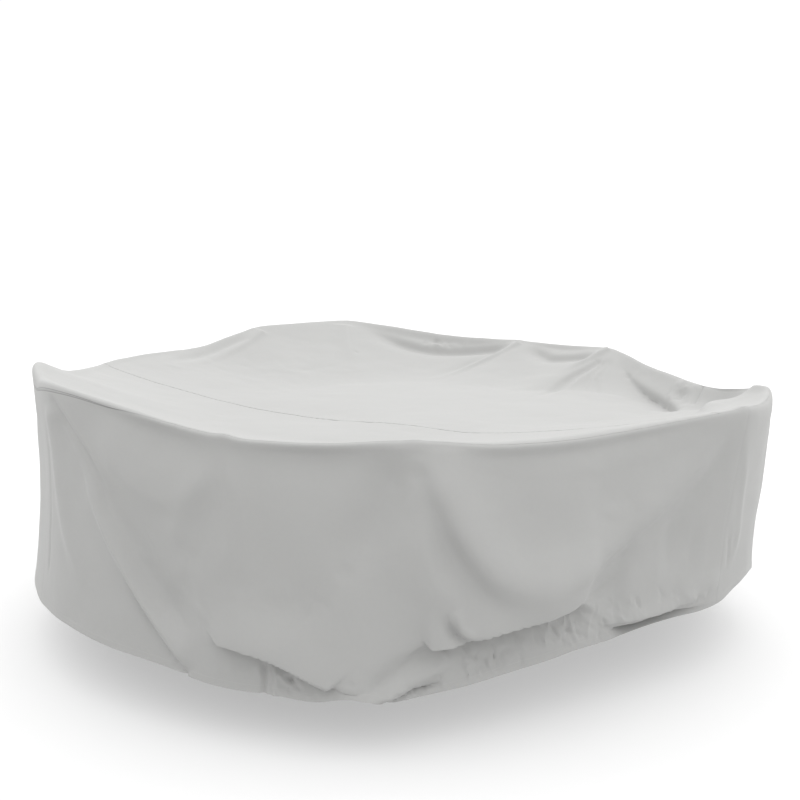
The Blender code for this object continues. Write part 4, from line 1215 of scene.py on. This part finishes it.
@dataclass(frozen=True)
class SkirtPanel:
    """A panel of the skirt between two side seams."""

    name: str
    start: float  # azimuth of its first side
    end: float
    columns: int  # of its lower part; the upper part has half as many
    upper_rows: int
    lower_rows: int
    fine_from: float  # run at which the lower, finer part starts
    sink: float  # how far its sides lie under the drape past the side seams

    lap_step: float = 0.0012  # length over which it rises again past the edge of the top's lap
    # rows beside the seam under the rim, from the upper edge that lies under the top
    lap_rows: tuple[float, ...] = (-0.012, 0.0, LAP, LAP + lap_step)
    under_top: float = 0.0013  # how far that edge lies under the drape
    crowding: float = 0.10  # how much the upper rows crowd towards the rim
    faint: float = 0.0014  # added to the distance from a side seam, so that its painted shadow line is fainter
    hem_depth: float = 0.022
    hem_step: float = 0.004  # length of the step where the folded hem ends
    hem_fold: float = 0.0009  # how much prouder the folded hem is

    def build(self, drape: Drape, finish: bpy.types.Material) -> bpy.types.Object:
        """Builds the panel.

        Args:
            drape: The surface that it lies on.
            finish: Its material.

        Returns:
            The panel's object.
        """
        azimuth, run, faces = self.grid(drape)
        seam = drape.seam_run(azimuth)
        from_seam = run - seam
        to_hem = drape.drop(azimuth) - run
        to_side = np.asarray(along_rim(np.minimum(azimuth - self.start, self.end - azimuth)))
        sink = self.under_top * smooth_step((LAP + self.lap_step - from_seam) / self.lap_step)
        sink = np.maximum(sink, self.sink * smooth_step(1.0 - to_side / SINK_LENGTH))
        sink = sink - self.hem_fold * smooth_step((self.hem_depth - to_hem) / self.hem_step)
        points = drape.points(azimuth, run, sink)
        along = np.asarray(along_rim(azimuth))
        over = self.sink == 0.0
        away_side = to_side + LAP if over else np.full(len(run), FAR_FROM_SEAM)
        # distance from the lap's edge, pushed away where the rolled edge hides the seam, so the painted shadow
        # line fades there
        away_rim = np.abs(from_seam - LAP) + LAP * drape.hidden(azimuth)
        # the first mark places the painted shadow line along the rim seam and the side seams
        marks = {
            "painted_seam_shadow_away": np.minimum(away_rim, np.abs(away_side) + self.faint),
            "stitch_away": away_side,
            "stitch_along": run,
            "hem_away": to_hem,
            "hem_along": along,
        }
        cloth = Cloth(points, faces, np.column_stack([along, -run]), marks)
        return cloth.sheet(self.name, finish)

    def grid(self, drape: Drape) -> tuple[Array, Array, list[Quad]]:
        """The rows of the panel, from its upper edge down.

        Args:
            drape: The surface that it lies on.

        Returns:
            Azimuth and run of each point, and the faces.
        """
        reach = math.degrees(LAP / MEAN_RADIUS)
        azimuths: list[Array] = []
        runs: list[Array] = []
        faces: list[Quad] = []
        above, above_count, total = -1, 0, 0
        for row in range(self.upper_rows + self.lower_rows + 1):
            upper = row < self.upper_rows
            count = self.columns // 2 if upper else self.columns
            azimuth = np.linspace(self.start - reach, self.end + reach, count + 1)
            if row < len(self.lap_rows):
                run = drape.seam_run(azimuth) + self.lap_rows[row]
            elif upper:
                last = len(self.lap_rows) - 1
                share = (row - last) / (self.upper_rows - last)
                first = drape.seam_run(azimuth) + self.lap_rows[-1]
                run = first + (self.fine_from - first) * (share - self.crowding * math.sin(math.pi * share))
            else:
                share = (row - self.upper_rows) / self.lower_rows
                run = self.fine_from + (drape.drop(azimuth) - self.fine_from) * share
            azimuths.append(azimuth)
            runs.append(run)
            if above >= 0:
                faces += strip(above, above_count, total, count, spare=1)
            above, above_count, total = total, count, total + count + 1
        return np.concatenate(azimuths), np.concatenate(runs), faces


@dataclass(frozen=True)
class TopPanel:
    """The part of the top on one side of the straight seam."""

    name: str
    side: float  # 1 in front of the seam and -1 behind it
    sink: float  # how far its edge past the seam lies under the drape

    seam_end: float = 0.36  # x at which the painted shadow line of the straight seam starts to fade
    seam_fade: float = 0.14  # length in x over which it fades
    along_seam: float = 1.16  # length along that seam for each metre in x
    crowding: float = 1.25  # power by which the outer rings crowd towards the rim
    columns: int = 960  # at the rim; halved three times on the way in
    # share of the way to the rim seam, how many rings up to there, and what their columns are divided by
    zones: tuple[tuple[float, int, int], ...] = ((0.22, 14, 8), (0.44, 22, 4), (0.72, 34, 2), (1.0, 58, 1))

    def grid(self, drape: Drape) -> tuple[Array, Array, list[Quad]]:
        """The rings of the whole top.

        Args:
            drape: The surface that it lies on.

        Returns:
            Azimuth and run of each point, the centre first, and the faces.
        """
        azimuths, shares, faces = [np.zeros(1)], [np.zeros(1)], []
        inner, inner_count, share, total = 0, 1, 0.0, 1
        for reach, rings, halved in self.zones:
            count = self.columns // halved
            for ring in range(1, rings + 1):
                part = ring / rings
                if reach == 1.0:
                    part = 1.0 - (1.0 - part) ** self.crowding
                azimuths.append(np.arange(count) * FULL_TURN / count + SIDE_SEAM_LEFT)
                shares.append(np.full(count, share + (reach - share) * part))
                faces += strip(inner, inner_count, total, count, spare=0)
                inner, inner_count, total = total, count, total + count
            share = reach
        azimuth, share_of = np.concatenate(azimuths), np.concatenate(shares)
        rim = drape.rim_radius(azimuth)
        edge = drape.seam_run(azimuth) + LAP
        return azimuth, share_of * (rim + edge) - rim, faces

    def build(self, drape: Drape, finish: bpy.types.Material) -> bpy.types.Object:
        """Builds the panel.

        Args:
            drape: The surface that it lies on.
            finish: Its material.

        Returns:
            The panel's object.
        """
        azimuth, run, faces = self.grid(drape)
        x, y = in_plan(azimuth, drape.rim_radius(azimuth) + run)
        ahead = self.side * self.in_front(drape, x, y)
        points = drape.points(azimuth, run, self.sink * smooth_step(1.0 - ahead / SINK_LENGTH))
        to_edge = drape.seam_run(azimuth) + LAP - run
        over = self.sink == 0.0
        away_top = ahead + LAP
        faded = smooth_step((x - self.seam_end) / self.seam_fade)
        across_seam = np.abs(away_top if over else ahead - LAP) + LAP * faded
        # the first mark places the painted shadow line along the rim seam and the straight seam; it is pushed
        # away where the rolled edge hides the rim seam and where the straight seam fades
        marks = {
            "painted_seam_shadow_away": np.minimum(to_edge + LAP * drape.hidden(azimuth), across_seam),
            "stitch_away": np.minimum(to_edge, away_top + faded) if over else to_edge,
            "stitch_along": np.where(to_edge < away_top, along_rim(azimuth), x * self.along_seam),
            "hem_away": np.full(len(run), FAR_FROM_SEAM),
            "hem_along": np.zeros(len(run)),
        }
        cloth = Cloth(points, faces, np.column_stack([x, y]), marks).trimmed(away_top)
        return cloth.sheet(self.name, finish)

    @staticmethod
    def in_front(drape: Drape, x: Array, y: Array) -> Array:
        """Distance from the straight seam in plan.

        Args:
            drape: The surface with that seam.
            x: Plan coordinates of each point.
            y: The same.

        Returns:
            Distance in front of the seam, negative behind it.
        """
        (left_x, left_y), (right_x, right_y) = drape.top.seam_left, drape.top.seam_right
        step_x, step_y = right_x - left_x, right_y - left_y
        return ((x - left_x) * step_y - (y - left_y) * step_x) / math.hypot(step_x, step_y)


@dataclass(frozen=True)
class Cover:
    """The whole cover."""

    drape: Drape
    finish: CoatedCloth

    def build(self) -> None:
        """Builds its four panels and sets each in place of its plain one."""
        cloth = self.finish.build()
        front = SkirtPanel(
            "skirt_front_cloth", SIDE_SEAM_LEFT, SIDE_SEAM_RIGHT,
            columns=580, upper_rows=52, lower_rows=56, fine_from=0.42, sink=0.0,
        )
        back = SkirtPanel(
            "skirt_back_cloth", SIDE_SEAM_RIGHT, SIDE_SEAM_LEFT + FULL_TURN,
            columns=760, upper_rows=44, lower_rows=34, fine_from=0.44, sink=UNDER_LAP,
        )
        panels: tuple[tuple[SkirtPanel | TopPanel, Hang, Pair, float], ...] = (
            (TopPanel("top_main_cloth", side=-1.0, sink=0.0), Hang.TOP, (2.60, 2.30), 3.60),
            (TopPanel("top_front_cloth", side=1.0, sink=UNDER_LAP), Hang.TOP, (2.60, 1.20), 1.90),
            (front, Hang.SKIRT, (2.55, 0.73), 1.80),
            (back, Hang.SKIRT, (5.60, 0.72), 3.85),
        )
        for panel, hang, flat, area in panels:
            piece = panel.build(self.drape, cloth)
            node = panel.name.removesuffix("_cloth")
            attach(piece, "root")
            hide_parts(node)
            LOG.info("%s: %d faces", piece.name, len(piece.data.polygons))


@dataclass(frozen=True)
class Studio:
    """Pale floor, pale sky, softbox and camera."""

    floor_size: float = 60.0
    floor: PlainFinish = PlainFinish("pale_floor", (0.42, 0.42, 0.42), glow=0.39)
    camera_place: tuple[float, float, float] = (0.026, -3.722, 0.6725)
    pitch: float = 9.74  # degrees that the camera looks down
    roll: float = 0.41
    lens: float = 44.87
    sensor: float = 36.0
    # height of the sky as a sine, and its brightness
    sky: tuple[Pair, ...] = ((0.0, 1.03), (0.24, 1.03), (0.32, 0.04), (1.0, 0.04))
    # cosine of the angle from the middle of the softbox, and its brightness
    softbox: tuple[Pair, ...] = ((0.0, 0.0), (0.25, 0.0), (0.39, 1.88), (1.0, 2.01))
    softbox_lean: float = 7.0  # degrees from straight overhead
    softbox_azimuth: float = 50.0  # the way it leans

    def build(self) -> None:
        """Builds the floor, the light and the camera."""
        bpy.ops.object.select_all(action="DESELECT")
        bpy.ops.mesh.primitive_plane_add(size=self.floor_size, location=(0.0, 0.0, GROUND))
        floor = bpy.context.object
        floor.name = "studio_floor"
        floor.data.materials.append(self.floor.build())
        self.light()
        camera = bpy.data.objects.new("camera", bpy.data.cameras.new("camera"))
        bpy.context.collection.objects.link(camera)
        camera.data.lens = self.lens
        camera.data.sensor_width = self.sensor
        tilt = Matrix.Rotation(math.radians(90.0 - self.pitch), 4, "X")
        turn = Matrix.Rotation(math.radians(self.roll), 4, "Z")
        camera.matrix_world = Matrix.Translation(self.camera_place) @ tilt @ turn
        bpy.context.scene.camera = camera
        bpy.context.scene.view_settings.view_transform = "Standard"

    def light(self) -> None:
        """A pale sky low down all round, and a broad softbox overhead that leans to the back right."""
        world = bpy.data.worlds.new("studio_dome")
        world.use_nodes = True
        nodes = Nodes(world.node_tree)
        way = nodes.add("ShaderNodeTexCoord").outputs["Generated"]
        height = nodes.add("ShaderNodeSeparateXYZ", _0=way).outputs["Z"]
        lean, azimuth = math.radians(self.softbox_lean), math.radians(self.softbox_azimuth)
        middle = (math.sin(lean) * math.cos(azimuth), math.sin(lean) * math.sin(azimuth), math.cos(lean))
        toward = nodes.add("ShaderNodeVectorMath", {"operation": "DOT_PRODUCT"}, _0=way, _1=middle)
        sky = self.brightness(nodes, height, self.sky)
        strength = sky + self.brightness(nodes, toward.outputs["Value"], self.softbox)
        background = nodes.add("ShaderNodeBackground", Color=(1.0, 1.0, 1.0, 1.0), Strength=strength)
        nodes.add("ShaderNodeOutputWorld", _0=background.outputs[0])
        bpy.context.scene.world = world

    @staticmethod
    def brightness(nodes: Nodes, value: bpy.types.NodeSocket, steps: Sequence[Pair]) -> Value:
        """Brightness that changes with a value.

        Args:
            nodes: The world's nodes.
            value: What it changes with, from 0 to 1.
            steps: Values with their brightness, in rising order.

        Returns:
            The brightness.
        """
        brightest = max(level for _, level in steps)
        stops = [(position, level / brightest) for position, level in steps]
        ramp = nodes.add("ShaderNodeValToRGB", {"stops": stops}, _0=value)
        return Value(nodes, ramp.outputs[0]) * brightest


def main() -> None:
    """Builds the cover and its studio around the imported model."""
    logging.basicConfig(level=logging.INFO, format="%(name)s: %(message)s")
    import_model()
    drape = Drape(
        RimForm(), TopForm(), SkirtForm(), TOP_CREASES, TOP_CRINKLES, SKIRT_CREASES, SKIRT_CRINKLES
    )
    Cover(drape, CoatedCloth()).build()
    Studio().build()


if __name__ == "__main__":
    main()
